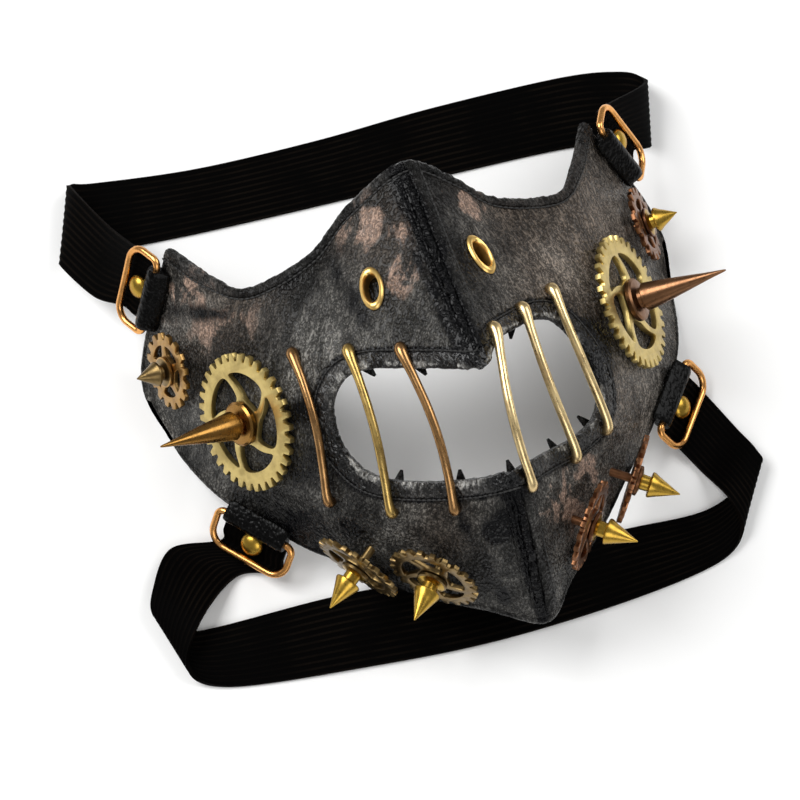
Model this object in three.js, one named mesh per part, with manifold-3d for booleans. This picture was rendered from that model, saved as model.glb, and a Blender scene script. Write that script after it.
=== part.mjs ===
// Half-face leather mask with gears, spikes and two elastic straps, lying face up on its rear edges.
// Millimetres, +Z up. Mask frame: x across the face, y from the chin up, z out of the face.
import * as THREE from 'three';
import { mergeVertices } from 'three/addons/utils/BufferGeometryUtils.js';
import Module from 'manifold-3d';

const wasm = await Module();
wasm.setup();

// How the mask lies
const FACE_LEAN = THREE.MathUtils.degToRad(18);
const LIE_SHIFT = new THREE.Vector3(0, -70, -19.5);
const GAP = 0.3;

// Leather
const LEATHER = 2.0;
const RIDGE_SHIFT = 4.5;
const RIDGE_SHIFT_REACH = 16;
const RIB_STEPS = 12;
const LEVEL_STEPS = 11;
const CREASE = 0.65;

// Lines of the half face from the centre ridge to the rear edge, each from the jaw edge up to the top edge
const RIBS = [
  {
    line: 'ridge',
    jaw: [0, 1, 48], low: [0, 46, 76], high: [0, 82, 78], nose: [0, 115, 64], top: [0, 147.5, 50],
  },
  {
    line: 'nostril',
    jaw: [14, 10, 43], low: [14, 45, 66], high: [15, 85, 67], nose: [17, 112, 57], top: [16.5, 140, 45],
  },
  {
    line: 'lip',
    jaw: [32, 22, 34], low: [30, 49, 56], high: [30, 88, 57], nose: [31, 112, 47.5], top: [30, 130, 39],
  },
  {
    line: 'cheek',
    jaw: [47, 35.5, 27], low: [48, 56, 42], high: [49, 86, 45], nose: [49, 110, 38], top: [51, 126, 31.5],
  },
  {
    line: 'gear',
    jaw: [57, 43.5, 20.5], low: [65, 61, 22], high: [66, 86, 23], nose: [67, 112, 20], top: [61.5, 134, 24],
  },
  {
    line: 'rear',
    jaw: [65.5, 52.5, 16], low: [79, 68.5, 8], high: [87.8, 90, -11], nose: [90, 114, -13], top: [71, 147, 14],
  },
];
const LEVELS = ['jaw', 'low', 'high', 'nose', 'top'];

// Mouth opening: its outline from the ridge on the upper lip, leftwards and round
const MOUTH = [
  [5, 81], [-8.5, 85.5], [-24.5, 91], [-32.5, 91], [-38.5, 85], [-40.5, 76], [-39, 67],
  [-32, 57.5], [-14, 50.5], [3, 48], [18.5, 50], [29, 51.5], [38, 55.5], [42, 63],
  [41.5, 74], [36, 86.5], [29.5, 90.5], [20, 89.5], [12, 87],
];
const MOUTH_STEPS = 38;

// Mouth bars: the two ends on the leather
const BAR_RADIUS = 1.4;
const BAR_LIFT = 2.2;
const BAR_HOLE = 2.4;
const BAR_STATIONS = [0.06, 0.2, 0.4, 0.6, 0.8, 0.94];
const BARS = [
  { top: [-44, 102], foot: [-46.5, 56] },
  { top: [-28.5, 97.5], foot: [-30.5, 47.5] },
  { top: [-14.5, 93], foot: [-13.5, 43] },
  { top: [11.5, 90.5], foot: [8, 43] },
  { top: [23.5, 94], foot: [25.5, 46.5] },
  { top: [35.5, 97], foot: [39, 51.5] },
];

// Nostril eyelets: tall ovals, their width given as a share of their height
const EYELET = {
  x: 17, y: 113, hole: 4.4, barrel: 5.2, flange: 7,
  narrow: 0.56, rise: 1.3, back: 1.5, hug: 0.5, sides: 14,
};

// Gears: radii of the parts of a disc, its spokes with their sweep in radians, and the steps of an arc
const GEAR_KINDS = {
  cheek: {
    teeth: 34, tip: 22, root: 19.6, rim: 16, hub: 7,
    spokes: 5, spoke: 2.6, sweep: 0.45, thick: 2, arc: 2,
  },
  temple: {
    teeth: 16, tip: 12.6, root: 10.6, rim: 8.6, hub: 5,
    spokes: 5, spoke: 2.6, sweep: 0, thick: 1.6, arc: 2,
  },
  jaw: {
    teeth: 22, tip: 14.3, root: 12.6, rim: 10.4, hub: 5.2,
    spokes: 5, spoke: 2.2, sweep: 0.3, thick: 1.6, arc: 2,
  },
};
const SPOKE_FLARE = 1.25;
const SPOKE_TIP = 0.75;
const TOOTH = [[0.08, 'root'], [0.26, 'tip'], [0.66, 'tip'], [0.84, 'root']];

// Where each gear and its spike stand on the half face, and how far they lean out from it in radians
const GEAR_PLACES = [
  { name: 'cheek', kind: 'cheek', spike: 'long', x: 62.5, y: 87, lean: 0 },
  { name: 'temple', kind: 'temple', spike: 'short', x: 79, y: 110.8, lean: 0.14 },
  { name: 'jaw_outer', kind: 'jaw', spike: 'cone', x: 39.3, y: 38, lean: 0.4 },
  { name: 'jaw_inner', kind: 'jaw', spike: 'cone', x: 21, y: 28.5, lean: 0.32 },
];

// Spikes: collar, neck, cone base, cone length
const SPIKES = {
  long: { collar: 7, collarHigh: 2.4, neck: 3.4, neckHigh: 1.6, base: 4.6, length: 28 },
  short: { collar: 5, collarHigh: 1.4, neck: 2.4, neckHigh: 1.6, base: 4, length: 7.5 },
  cone: { collar: 4.8, collarHigh: 1.6, neck: 2.4, neckHigh: 2.6, base: 4.1, length: 10 },
};
const POST_RADIUS = 1.4;
const POST_OUT = 1;
const CONE_SHOULDER = 0.8;
const SPIKE_SIDES = 8;

// Strap rings, the leather tabs rolled round them and their dome rivets
const RING = { length: 30, width: 14.5, wire: 1.15, corner: 5.5, tightCorner: 2.4 };
const TAB = { length: 22, wall: 1.4, tail: 4, tailThick: 1.6, clear: 0.3, over: 1 };
const RIVET = { radius: 3.9, high: 2.5, post: 1.1, back: 0.5, out: 6.8, sides: 8 };
const RING_PLACES = [
  { name: 'upper', foot: { rib: 5, level: 3.33 }, head: { rib: 5, level: 4 }, droop: 0.4 },
  { name: 'lower', foot: { rib: 4.7, level: 0 }, head: { rib: 5, level: 0.55 }, droop: 0.8 },
];

// Straps: the two edges of the band at each station, row frame, between the ring on the left and the right
const STRAP_THICK = 1.5;
const STRAP_DROP = 1.8;
const STRAP_SAMPLES = 3;
const UPPER_STRAP = [
  { head: [-86, 88.5, 20.5], foot: [-97, 70, 11] },
  { head: [-93.5, 109, 12], foot: [-104.5, 85, 8] },
  { head: [-94, 115, 5], foot: [-102, 88, 4.5] },
  { head: [-86, 114.8, 0.75], foot: [-87, 89, 0.75] },
  { head: [-51.5, 109, 0.75], foot: [-55, 86, 0.75] },
  { head: [-9.5, 106.2, 0.75], foot: [-11.5, 82.8, 0.75] },
  { head: [32, 105.5, 0.75], foot: [29, 80.2, 0.75] },
  { head: [78.5, 102.5, 0.75], foot: [73.5, 76.5, 0.75] },
  { head: [98.5, 97, 3], foot: [91.5, 71, 3] },
  { head: [104, 90, 8], foot: [97, 67.5, 6] },
  { head: [99.5, 83.5, 16], foot: [95.5, 64, 9.5] },
];
const LOWER_STRAP = [
  { head: [-98, -18, 1.5], foot: [-80.5, -33, 1.5] },
  { head: [-107, -30.5, 6], foot: [-95.5, -45, 8] },
  { head: [-108.5, -38.5, 4.5], foot: [-103.5, -57.5, 4.5] },
  { head: [-99.5, -46, 0.75], foot: [-92.5, -66.5, 0.75] },
  { head: [-54, -49.3, 0.75], foot: [-50, -74, 0.75] },
  { head: [-8, -55, 0.75], foot: [-8.7, -79, 0.75] },
  { head: [38.5, -57.5, 0.75], foot: [35, -80, 0.75] },
  { head: [70.5, -60, 0.75], foot: [66.5, -77.5, 0.75] },
  { head: [89.5, -52.5, 4.5], foot: [77, -71, 4.5] },
  { head: [91, -47.5, 6], foot: [76.5, -61, 8] },
  { head: [88.5, -36.5, 1.5], foot: [73, -47.5, 1.5] },
];

const LOOKS = {
  leather: new THREE.MeshStandardMaterial({ color: 0x3b3836, roughness: 0.55, metalness: 0 }),
  elastic: new THREE.MeshStandardMaterial({ color: 0x151516, roughness: 0.85, metalness: 0 }),
  gold: new THREE.MeshStandardMaterial({ color: 0xcf9f4e, roughness: 0.35, metalness: 1 }),
  brass: new THREE.MeshStandardMaterial({ color: 0xb09a60, roughness: 0.4, metalness: 1 }),
  bronze: new THREE.MeshStandardMaterial({ color: 0x8a5a30, roughness: 0.35, metalness: 1 }),
};

const vec = (a) => new THREE.Vector3(a[0], a[1], a[2]);

// Value of a smooth curve through evenly spaced points, straight on past both ends
function spline(points, at) {
  const last = points.length - 1;
  const i = Math.min(Math.floor(at), last - 1);
  const f = at - i;
  const p1 = points[i];
  const p2 = points[i + 1];
  const p0 = i > 0 ? points[i - 1] : p1.clone().multiplyScalar(2).sub(p2);
  const p3 = i + 2 <= last ? points[i + 2] : p2.clone().multiplyScalar(2).sub(p1);
  const tangent1 = p2.clone().sub(p0).multiplyScalar(0.5);
  const tangent2 = p3.clone().sub(p1).multiplyScalar(0.5);
  const f2 = f * f;
  const f3 = f2 * f;
  return p1.clone().multiplyScalar(2 * f3 - 3 * f2 + 1)
    .addScaledVector(tangent1, f3 - 2 * f2 + f)
    .addScaledVector(p2, 3 * f2 - 2 * f3)
    .addScaledVector(tangent2, f3 - f2);
}

const RIB_POINTS = LEVELS.map((level) => RIBS.map((rib) => vec(rib[level])));
const RIB_END = RIBS.length - 1;
const LEVEL_END = LEVELS.length - 1;

// Line across the half face, running on over the ridge: level with the other half, its crease kept in part
function ribLine(row) {
  const [ridge, next] = row;
  const creased = 2 * ridge.z - next.z;
  const beyond = new THREE.Vector3(-next.x, next.y, THREE.MathUtils.lerp(next.z, creased, CREASE));
  return [beyond, ...row];
}

const RIB_LINES = RIB_POINTS.map(ribLine);

// Point of the leather's outer face on one side, at a rib line and a level
function facePoint(side, rib, level) {
  const p = spline(RIB_LINES.map((row) => spline(row, rib + 1)), level);
  const lean = RIDGE_SHIFT * Math.exp(-((p.x / RIDGE_SHIFT_REACH) ** 2));
  return new THREE.Vector3(side * p.x + lean, p.y, p.z);
}

function faceNormal(side, rib, level) {
  const step = 0.02;
  const r0 = Math.max(rib - step, 0);
  const r1 = Math.min(rib + step, RIB_END);
  const l0 = Math.max(level - step, 0);
  const l1 = Math.min(level + step, LEVEL_END);
  const across = facePoint(side, r1, level).sub(facePoint(side, r0, level));
  const up = facePoint(side, rib, l1).sub(facePoint(side, rib, l0));
  return across.cross(up).multiplyScalar(side).normalize();
}

// Rib and level of the face under a place given by x and y
function findOnFace(x, y) {
  const side = x < RIDGE_SHIFT ? -1 : 1;
  let best = { miss: Infinity };
  let reach = RIB_END / 2;
  let mid = { rib: reach, level: LEVEL_END / 2 };
  for (let round = 0; round < 14; round += 1) {
    for (let i = -4; i <= 4; i += 1) {
      for (let j = -4; j <= 4; j += 1) {
        const rib = THREE.MathUtils.clamp(mid.rib + (i * reach) / 4, 0, RIB_END);
        const level = THREE.MathUtils.clamp(mid.level + (j * reach) / 4, 0, LEVEL_END);
        const p = facePoint(side, rib, level);
        const miss = Math.hypot(p.x - x, p.y - y);
        if (miss < best.miss) best = { miss, rib, level };
      }
    }
    mid = best;
    reach *= 0.6;
  }
  const point = facePoint(side, best.rib, best.level);
  return { side, rib: best.rib, level: best.level, point, normal: faceNormal(side, best.rib, best.level) };
}

// Closed geometry with shared corners, no empty triangles and its faces outwards
function closed(geometry) {
  const bare = geometry.index ? geometry : geometry.clone();
  bare.deleteAttribute('normal');
  bare.deleteAttribute('uv');
  const merged = mergeVertices(bare, 1e-4);
  const index = merged.index.array;
  const at = merged.attributes.position;
  const kept = [];
  let volume = 0;
  const [a, b, c] = [new THREE.Vector3(), new THREE.Vector3(), new THREE.Vector3()];
  for (let i = 0; i < index.length; i += 3) {
    const [p, q, r] = [index[i], index[i + 1], index[i + 2]];
    if (p !== q && q !== r && r !== p) {
      kept.push(p, q, r);
      const around = b.fromBufferAttribute(at, q).cross(c.fromBufferAttribute(at, r));
      volume += a.fromBufferAttribute(at, p).dot(around);
    }
  }
  if (volume < 0) {
    for (let i = 0; i < kept.length; i += 3) [kept[i], kept[i + 1]] = [kept[i + 1], kept[i]];
  }
  merged.setIndex(kept);
  return merged;
}

function toManifold(geometry) {
  const solid = closed(geometry);
  return new wasm.Manifold(new wasm.Mesh({
    numProp: 3,
    vertProperties: new Float32Array(solid.attributes.position.array),
    triVerts: new Uint32Array(solid.index.array),
  }));
}

function fromManifold(solid) {
  const mesh = solid.getMesh();
  const geometry = new THREE.BufferGeometry();
  geometry.setAttribute('position', new THREE.BufferAttribute(new Float32Array(mesh.vertProperties), 3));
  geometry.setIndex(new THREE.BufferAttribute(new Uint32Array(mesh.triVerts), 1));
  return geometry;
}

function cut(geometry, cutters) {
  let solid = toManifold(geometry);
  for (const cutter of cutters) solid = solid.subtract(toManifold(cutter));
  return fromManifold(solid);
}

// Frame with its Z along the normal and its X level across the face
function standOn(point, normal) {
  const x = new THREE.Vector3(0, 1, 0).cross(normal).normalize();
  const y = normal.clone().cross(x);
  return new THREE.Matrix4().makeBasis(x, y, normal).setPosition(point);
}

// Turned solid about local Z from rows of radius and height
function turned(rows, sides) {
  const geometry = new THREE.LatheGeometry(rows.map(([r, h]) => new THREE.Vector2(r, h)), sides);
  return geometry.rotateX(Math.PI / 2);
}

function pin(radius, from, to, sides) {
  return turned([[0, from], [radius, from], [radius, to], [0, to]], sides);
}

const lie = new THREE.Matrix4().makeRotationX(FACE_LEAN).setPosition(LIE_SHIFT);
const pieces = [];

function addPiece(name, geometry, look) {
  pieces.push({ name, geometry: closed(geometry), look });
}

// Gear disc standing on local Z = 0
function gearDisc(kind) {
  const shape = new THREE.Shape();
  const pitch = (2 * Math.PI) / kind.teeth;
  for (let tooth = 0; tooth < kind.teeth; tooth += 1) {
    for (const [part, level] of TOOTH) {
      const turn = (tooth + part) * pitch;
      const x = kind[level] * Math.cos(turn);
      const y = kind[level] * Math.sin(turn);
      if (tooth === 0 && part === TOOTH[0][0]) shape.moveTo(x, y);
      else shape.lineTo(x, y);
    }
  }
  shape.closePath();
  const window = (2 * Math.PI) / kind.spokes;
  const steps = kind.arc;
  for (let spoke = 0; spoke < kind.spokes; spoke += 1) {
    const outline = [];
    const edge = (first, radius, part) => {
      const half = (kind.spoke * THREE.MathUtils.lerp(SPOKE_FLARE, SPOKE_TIP, part)) / 2 / radius;
      const turn = (spoke + (first ? 0 : 1)) * window + kind.sweep * part + (first ? half : -half);
      outline.push(new THREE.Vector2(radius * Math.cos(turn), radius * Math.sin(turn)));
    };
    for (let i = 0; i <= steps; i += 1) {
      edge(true, kind.hub + ((kind.rim - kind.hub) * i) / steps, i / steps);
    }
    const start = outline[outline.length - 1].angle();
    const stopHalf = (kind.spoke * SPOKE_TIP) / 2 / kind.rim;
    const span = window - 2 * stopHalf;
    for (let i = 1; i < steps; i += 1) {
      const turn = start + (span * i) / steps;
      outline.push(new THREE.Vector2(kind.rim * Math.cos(turn), kind.rim * Math.sin(turn)));
    }
    for (let i = steps; i >= 0; i -= 1) {
      edge(false, kind.hub + ((kind.rim - kind.hub) * i) / steps, i / steps);
    }
    shape.holes.push(new THREE.Path(outline));
  }
  const bore = new THREE.Path();
  bore.absarc(0, 0, POST_RADIUS + GAP, 0, 2 * Math.PI, true);
  shape.holes.push(bore);
  return new THREE.ExtrudeGeometry(shape, { depth: kind.thick, bevelEnabled: false, curveSegments: 3 });
}

// Seat with its axis leant on, away from the front of the face
function leant(seat, by) {
  const front = new THREE.Vector3(0, 0, 1);
  const away = seat.normal.clone().multiplyScalar(seat.normal.z).sub(front).normalize();
  const normal = seat.normal.clone().multiplyScalar(Math.cos(by)).addScaledVector(away, Math.sin(by));
  return { ...seat, normal };
}

// Height of the leather above a disc's own plane, so that a flat disc clears the bulge under it
function bulgeUnder(seat, radius) {
  let most = 0;
  const reach = 1.3;
  const step = 0.06;
  const ribEnd = Math.min(seat.rib + reach, RIB_END);
  const levelEnd = Math.min(seat.level + reach, LEVEL_END);
  for (let rib = Math.max(seat.rib - reach, 0); rib <= ribEnd; rib += step) {
    for (let level = Math.max(seat.level - reach, 0); level <= levelEnd; level += step) {
      const offset = facePoint(seat.side, rib, level).sub(seat.point);
      const height = offset.dot(seat.normal);
      const flat = Math.sqrt(Math.max(offset.lengthSq() - height * height, 0));
      if (flat < radius) most = Math.max(most, height);
    }
  }
  return most;
}

// Holes through the leather, on the mask frame
const leatherCutters = { '-1': [], 1: [] };

function throughLeather(seat, radius, sides, narrow = 1) {
  const hole = pin(radius, -6 * LEATHER, 4 * LEATHER, sides).scale(narrow, 1, 1);
  leatherCutters[seat.side].push(hole.applyMatrix4(standOn(seat.point, seat.normal)));
}

function sideName(side) {
  return side < 0 ? 'left' : 'right';
}

// Gears and spikes
for (const side of [-1, 1]) {
  for (const place of GEAR_PLACES) {
    const kind = GEAR_KINDS[place.kind];
    const spike = SPIKES[place.spike];
    const seat = leant(findOnFace(side * place.x, place.y), place.lean);
    const lift = bulgeUnder(seat, kind.tip + 1) + GAP;
    const frame = standOn(seat.point.clone().addScaledVector(seat.normal, lift), seat.normal);
    addPiece(`${place.name}_gear_${sideName(side)}`, gearDisc(kind).applyMatrix4(frame), LOOKS.brass);
    const foot = kind.thick + GAP;
    const neckFoot = foot + spike.collarHigh;
    const coneFoot = neckFoot + spike.neckHigh;
    const rows = [
      [0, -lift - LEATHER - POST_OUT],
      [POST_RADIUS, -lift - LEATHER - POST_OUT],
      [POST_RADIUS, foot],
      [spike.collar, foot],
      [spike.collar * 0.92, foot + spike.collarHigh * 0.7],
      [spike.neck * 1.1, neckFoot],
      [spike.neck, coneFoot],
      [spike.base, coneFoot],
      [spike.base, coneFoot + CONE_SHOULDER],
      [spike.base * 0.5, coneFoot + spike.length * 0.54],
      [0, coneFoot + spike.length],
    ];
    const look = place.spike === 'long' ? LOOKS.bronze : LOOKS.gold;
    addPiece(`${place.name}_spike_${sideName(side)}`, turned(rows, SPIKE_SIDES).applyMatrix4(frame), look);
    throughLeather(seat, POST_RADIUS + GAP, 6);
  }
}

// Nostril eyelets
for (const side of [-1, 1]) {
  const seat = findOnFace(side * EYELET.x + RIDGE_SHIFT * 0.1, EYELET.y);
  const lift = bulgeUnder(seat, EYELET.flange) + GAP;
  const frame = standOn(seat.point, seat.normal);
  const rows = [
    [EYELET.hole, -LEATHER - EYELET.back],
    [EYELET.barrel, -LEATHER - EYELET.back],
    [EYELET.barrel, lift],
    [EYELET.flange, lift],
    [EYELET.flange - 0.5, lift + EYELET.rise * 0.75],
    [EYELET.flange - 1.3, lift + EYELET.rise],
    [EYELET.hole, lift + EYELET.rise * 0.5],
    [EYELET.hole, -LEATHER - EYELET.back],
  ];
  const oval = turned(rows, EYELET.sides).scale(EYELET.narrow, 1, 1);
  addPiece(`nostril_eyelet_${sideName(side)}`, oval.applyMatrix4(frame), LOOKS.gold);
  throughLeather(seat, EYELET.barrel + EYELET.hug, 12, EYELET.narrow);
}

// Mouth bars: bent wire over the lips, from a hole above the mouth to a hole below it
BARS.forEach((bar, i) => {
  const [top, foot] = [bar.top, bar.foot].map((end) => new THREE.Vector2(...end));
  const seatAt = (part) => {
    const place = top.clone().lerp(foot, part);
    return findOnFace(place.x, place.y);
  };
  const raised = (seat, by) => seat.point.clone().addScaledVector(seat.normal, by);
  const ends = [seatAt(0), seatAt(1)];
  const path = new THREE.CatmullRomCurve3([
    raised(ends[0], -LEATHER * 0.6), raised(ends[0], BAR_LIFT * 0.6),
    ...BAR_STATIONS.map((part) => raised(seatAt(part), BAR_LIFT)),
    raised(ends[1], BAR_LIFT * 0.6), raised(ends[1], -LEATHER * 0.6),
  ], false, 'catmullrom', 0.4);
  const circle = new THREE.Shape().absarc(0, 0, BAR_RADIUS, 0, 2 * Math.PI);
  const wire = new THREE.ExtrudeGeometry(circle, { steps: 10, extrudePath: path, curveSegments: 3 });
  addPiece(`mouth_bar_${i + 1}`, wire, LOOKS.gold);
  for (const seat of ends) throughLeather(seat, BAR_HOLE, 6);
});

// Leather half from the ridge to the rear edge: outer face, inner face and the edge between them
function leatherHalf(side) {
  const at = [];
  const put = (p) => at.push(p.x, p.y, p.z);
  for (const inner of [false, true]) {
    for (let i = 0; i <= RIB_STEPS; i += 1) {
      for (let j = 0; j <= LEVEL_STEPS; j += 1) {
        const rib = (RIB_END * i) / RIB_STEPS;
        const level = (LEVEL_END * j) / LEVEL_STEPS;
        const p = facePoint(side, rib, level);
        const n = faceNormal(side, rib, level);
        if (i === 0) {
          p.x += (side * GAP) / 2;
          const mitre = new THREE.Vector3(0, n.y, n.z);
          n.copy(mitre.divideScalar(mitre.lengthSq()));
        }
        put(inner ? p.addScaledVector(n, -LEATHER) : p);
      }
    }
  }
  const row = LEVEL_STEPS + 1;
  const sheet = (RIB_STEPS + 1) * row;
  const index = [];
  const quad = (a, b, c, d) => index.push(a, b, c, a, c, d);
  for (let i = 0; i < RIB_STEPS; i += 1) {
    for (let j = 0; j < LEVEL_STEPS; j += 1) {
      const a = i * row + j;
      quad(a, a + row, a + row + 1, a + 1);
      quad(sheet + a, sheet + a + 1, sheet + a + row + 1, sheet + a + row);
    }
  }
  for (let i = 0; i < RIB_STEPS; i += 1) {
    const jaw = i * row;
    const top = i * row + LEVEL_STEPS;
    quad(jaw, sheet + jaw, sheet + jaw + row, jaw + row);
    quad(top, top + row, sheet + top + row, sheet + top);
  }
  for (let j = 0; j < LEVEL_STEPS; j += 1) {
    const rear = RIB_STEPS * row + j;
    quad(j, j + 1, sheet + j + 1, sheet + j);
    quad(rear, sheet + rear, sheet + rear + 1, rear + 1);
  }
  const geometry = new THREE.BufferGeometry();
  geometry.setAttribute('position', new THREE.BufferAttribute(new Float32Array(at), 3));
  geometry.setIndex(index);
  return geometry;
}

// Mouth opening right through the leather
function mouthCutter() {
  const loop = new THREE.CatmullRomCurve3(MOUTH.map(([x, y]) => new THREE.Vector3(x, y, 0)), true);
  const outline = loop.getSpacedPoints(MOUTH_STEPS).slice(0, -1);
  const shape = new THREE.Shape(outline.map((p) => new THREE.Vector2(p.x, p.y)));
  const depth = 90;
  return new THREE.ExtrudeGeometry(shape, { depth, bevelEnabled: false }).translate(0, 0, 10);
}

// Floor under the mask, on the mask frame, so that the rear edges are cut flat where they rest
function floorCutter() {
  const side = 400;
  const block = new THREE.BoxGeometry(side, side, side).translate(0, 0, -side / 2);
  return block.applyMatrix4(lie.clone().invert());
}

for (const side of [-1, 1]) {
  const cutters = [mouthCutter(), floorCutter(), ...leatherCutters[side]];
  addPiece(`panel_${sideName(side)}`, cut(leatherHalf(side), cutters), LOOKS.leather);
}
for (const piece of pieces) piece.geometry.applyMatrix4(lie);

// Leather near a rear edge, both faces, row frame
function leatherNear(side, level) {
  const points = [];
  for (let rib = RIB_END - 1.4; rib <= RIB_END; rib += 0.1) {
    for (let by = -0.8; by <= 0.8; by += 0.1) {
      const at = THREE.MathUtils.clamp(level + by, 0, LEVEL_END);
      const outer = facePoint(side, rib, at);
      const inner = outer.clone().addScaledVector(faceNormal(side, rib, at), -LEATHER);
      points.push(outer.applyMatrix4(lie), inner.applyMatrix4(lie));
    }
  }
  return points;
}

// Ring on the leather's edge: X along the edge, Y outwards and drooping, Z up.
// Its tab lies on the outer face and rolls round the inner wire.
function ringFrame(side, place) {
  const { foot, head } = place;
  const [low, high] = [foot, head].map((end) => facePoint(side, end.rib, end.level).applyMatrix4(lie));
  const edge = low.clone().lerp(high, 0.5);
  const along = high.clone().sub(low).normalize();
  const level = (foot.level + head.level) / 2;
  const normal = faceNormal(side, RIB_END - 0.35, level).transformDirection(lie);
  normal.addScaledVector(along, -along.dot(normal)).normalize();
  const inwards = normal.clone().cross(along);
  if (inwards.x * side > 0) inwards.negate();
  const roll = RING.wire + GAP + TAB.wall;
  let rise = 0;
  for (const p of leatherNear(side, level)) {
    const offset = p.sub(edge);
    const besides = Math.abs(offset.dot(along));
    const under = offset.dot(inwards) < TAB.over + roll + TAB.tail + 1;
    if (besides < RING.length / 2 + 1 && under) rise = Math.max(rise, offset.dot(normal));
  }
  const wire = edge.clone()
    .addScaledVector(normal, rise + TAB.clear + roll)
    .addScaledVector(inwards, TAB.over);
  const flat = along.clone().cross(new THREE.Vector3(0, 0, 1)).normalize();
  if (flat.x * side < 0) flat.negate();
  const up = along.clone().cross(flat);
  if (up.z < 0) up.negate();
  const out = flat.clone().multiplyScalar(Math.cos(place.droop)).addScaledVector(up, -Math.sin(place.droop));
  const top = up.clone().multiplyScalar(Math.cos(place.droop)).addScaledVector(flat, Math.sin(place.droop));
  const frame = new THREE.Matrix4().makeBasis(out.clone().cross(top), out, top).setPosition(wire);
  const across = along.clone().cross(inwards);
  const tabFrame = new THREE.Matrix4().makeBasis(inwards, across, along).setPosition(wire);
  return { wire, along, out, top, roll, frame, tabFrame, tailSide: -Math.sign(across.dot(normal)) };
}

// Corner points of the wire's rounded rectangle, its inner long side through the origin along X
function ringOutline() {
  const half = RING.length / 2 - RING.wire;
  const wide = RING.width - 2 * RING.wire;
  const [tight, loose] = [RING.tightCorner, RING.corner];
  const corners = [
    { x: half - tight, y: tight, radius: tight, from: -90, steps: 2 },
    { x: half - loose, y: wide - loose, radius: loose, from: 0, steps: 3 },
    { x: loose - half, y: wide - loose, radius: loose, from: 90, steps: 3 },
    { x: tight - half, y: tight, radius: tight, from: 180, steps: 2 },
  ];
  return corners.flatMap((corner) => Array.from({ length: corner.steps + 1 }, (_, i) => {
    const turn = THREE.MathUtils.degToRad(corner.from + (90 * i) / corner.steps);
    const [x, y] = [corner.x + corner.radius * Math.cos(turn), corner.y + corner.radius * Math.sin(turn)];
    return new THREE.Vector3(x, y, 0);
  }));
}

// Wire ring closed on itself
function ringGeometry() {
  const loop = ringOutline();
  const sides = 6;
  const at = [];
  const index = [];
  loop.forEach((p, i) => {
    const before = loop[(i + loop.length - 1) % loop.length];
    const after = loop[(i + 1) % loop.length];
    const tangent = after.clone().sub(before).normalize();
    const outward = new THREE.Vector3(tangent.y, -tangent.x, 0);
    const next = (i + 1) % loop.length;
    for (let k = 0; k < sides; k += 1) {
      const turn = (2 * Math.PI * k) / sides;
      const q = p.clone().addScaledVector(outward, RING.wire * Math.cos(turn));
      at.push(q.x, q.y, RING.wire * Math.sin(turn));
      const [a, b] = [i * sides + k, next * sides + k];
      const [c, d] = [next * sides + ((k + 1) % sides), i * sides + ((k + 1) % sides)];
      index.push(a, b, c, a, c, d);
    }
  });
  const geometry = new THREE.BufferGeometry();
  geometry.setAttribute('position', new THREE.BufferAttribute(new Float32Array(at), 3));
  geometry.setIndex(index);
  return geometry;
}

// Tab: a sleeve round the inner wire with a tail that lies against the outside of the leather
function tabGeometry({ roll, tailSide }) {
  const sleeve = new THREE.Shape().absarc(0, 0, roll, 0, 2 * Math.PI);
  sleeve.holes.push(new THREE.Path().absarc(0, 0, RING.wire + GAP, 0, 2 * Math.PI, true));
  const extent = { depth: TAB.length, bevelEnabled: false, curveSegments: 6 };
  const rolled = new THREE.ExtrudeGeometry(sleeve, extent).translate(0, 0, -TAB.length / 2);
  const to = roll + TAB.tail;
  const low = tailSide * (roll - TAB.tailThick / 2);
  const tail = new THREE.BoxGeometry(to, TAB.tailThick, TAB.length).translate(to / 2, low, 0);
  const bore = pin(RING.wire + GAP, -TAB.length, TAB.length, 24);
  return fromManifold(toManifold(rolled).add(toManifold(tail)).subtract(toManifold(bore)));
}

const ringFrames = {};
for (const side of [-1, 1]) {
  for (const place of RING_PLACES) {
    const name = `${place.name}_${sideName(side)}`;
    const ring = ringFrame(side, place);
    ringFrames[name] = ring;
    addPiece(`strap_ring_${name}`, ringGeometry().applyMatrix4(ring.frame), LOOKS.gold);
    addPiece(`strap_tab_${name}`, tabGeometry(ring).applyMatrix4(ring.tabFrame), LOOKS.leather);
  }
}

// Strap: a flat band swept through its stations, from under one ring to under the other
function strapStations(kind, rows) {
  const ends = ['left', 'right'].map((sideOf) => ringFrames[`${kind}_${sideOf}`]);
  const under = STRAP_DROP + STRAP_THICK / 2;
  const halfWide = TAB.length / 2;
  const station = (ring, out) => {
    const mid = ring.wire.clone().addScaledVector(ring.out, out).addScaledVector(ring.top, -under);
    const head = mid.clone().addScaledVector(ring.along, halfWide);
    const foot = mid.clone().addScaledVector(ring.along, -halfWide);
    return { head, foot };
  };
  const outs = [ends[0].roll + GAP, RING.width * 0.5, RING.width * 0.85];
  return [
    ...outs.map((out) => station(ends[0], out)),
    ...rows.map((row) => ({ head: vec(row.head), foot: vec(row.foot) })),
    ...outs.reverse().map((out) => station(ends[1], out)),
  ];
}

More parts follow.
